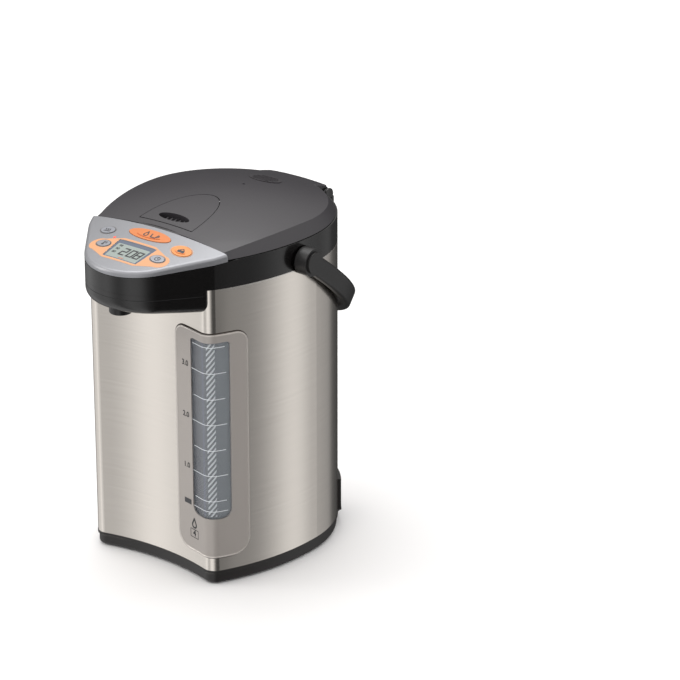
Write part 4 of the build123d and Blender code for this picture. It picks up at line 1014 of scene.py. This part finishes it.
# the room's brightness by direction in degrees: 0 is the front, 90 is +X and 180 is the back
bands = [
    (-180, 0.10), (-160, 0.05), (-128, 0.07), (-108, 0.34), (-88, 0.72), (-62, 0.80), (-52, 0.84), (-42, 1.0),
    (-36, 1.0), (-30, 0.86), (-24, 0.68), (-18, 0.54), (-11, 0.52), (-3, 0.75), (8, 1.0), (26, 0.9),
    (42, 0.25), (55, 0.06), (76, 0.07), (88, 0.27), (100, 0.28), (107, 0.37), (114, 0.55), (121, 0.76),
    (127, 0.88), (133, 0.80), (140, 0.53), (148, 0.41), (158, 0.38), (170, 0.34), (180, 0.10),
]
room = {"power": 2.0, "ceiling": (0.58, 0.57, 0.565), "ceilingFrom": 0.15, "ceilingTo": 0.75,
        "backdrop": (0.5, 0.5, 0.5)}
ground = {"half": 6.0, "tone": (0.93, 0.93, 0.93)}
lamps = {
    "topBox": {"place": (-0.5, 0.3, 2.2), "wide": 1.6, "high": 1.6, "power": 18.0, "colour": (1, 1, 1)},
    "sideBox": {"place": (-1.6, -1.3, 1.1), "wide": 0.7, "high": 1.4, "power": 9.0,
                "colour": (1.0, 0.97, 0.93)},
}
lampAim = (0, 0, 0.2)


def makeRoom():  # bands of light and dark round the pot, a pale ceiling, and a plain backdrop for the camera
    world = bpy.data.worlds.new("studio")
    bpy.context.scene.world = world
    world.use_nodes = True
    book = Book(world.node_tree)
    x, y, z = book.axes(book.add("ShaderNodeTexCoord"))
    turn = x.turn(-y) / (2 * pi) + 0.5
    stops = [((degree + 180) / 360, (tone / room["power"],) * 3) for degree, tone in bands]
    around = book.add("ShaderNodeValToRGB", {"stops": stops}, turn)
    overhead = z.ramp(room["ceilingFrom"], room["ceilingTo"])
    lit = book.blend(overhead, around, room["ceiling"])
    seen = book.add("ShaderNodeLightPath")
    light = book.add("ShaderNodeBackground", None, book.blend(seen, lit, room["backdrop"]), room["power"])
    end = book.tree.nodes.new("ShaderNodeOutputWorld")
    book.tree.links.new(light.socket, end.inputs[0])


def paleFloor(book):
    cloud = book.noise(book.place(), scale=3.0)
    tone = ground["tone"]
    return {"Base Color": book.blend(cloud, tone, shade(tone, 1.02)), "Roughness": 0.7 + cloud * 0.05}


def makeFloor():
    bm = bmesh.new()
    bmesh.ops.create_grid(bm, x_segments=1, y_segments=1, size=ground["half"])
    mesh = bpy.data.meshes.new("floor")
    bm.to_mesh(mesh)
    bm.free()
    mesh.materials.append(finish("paleFloor", paleFloor))
    floor = bpy.data.objects.new("floor", mesh)
    bpy.context.scene.collection.objects.link(floor)
    floor.visible_glossy = False  # the room's own bands show in the steel instead


def makeLamp(name, lamp):
    data = bpy.data.lights.new(name, "AREA")
    data.shape, data.size, data.size_y = "RECTANGLE", lamp["wide"], lamp["high"]
    data.energy, data.color = lamp["power"], lamp["colour"]
    holder = bpy.data.objects.new(name, data)
    holder.location = lamp["place"]
    aim = Vector(lampAim) - Vector(lamp["place"])
    holder.rotation_euler = aim.to_track_quat("-Z", "Y").to_euler()
    bpy.context.scene.collection.objects.link(holder)


makeRoom()
makeFloor()
for lampName, lamp in lamps.items():
    makeLamp(lampName, lamp)
bpy.context.scene.view_settings.view_transform = "Standard"
print("stage: studio lit")
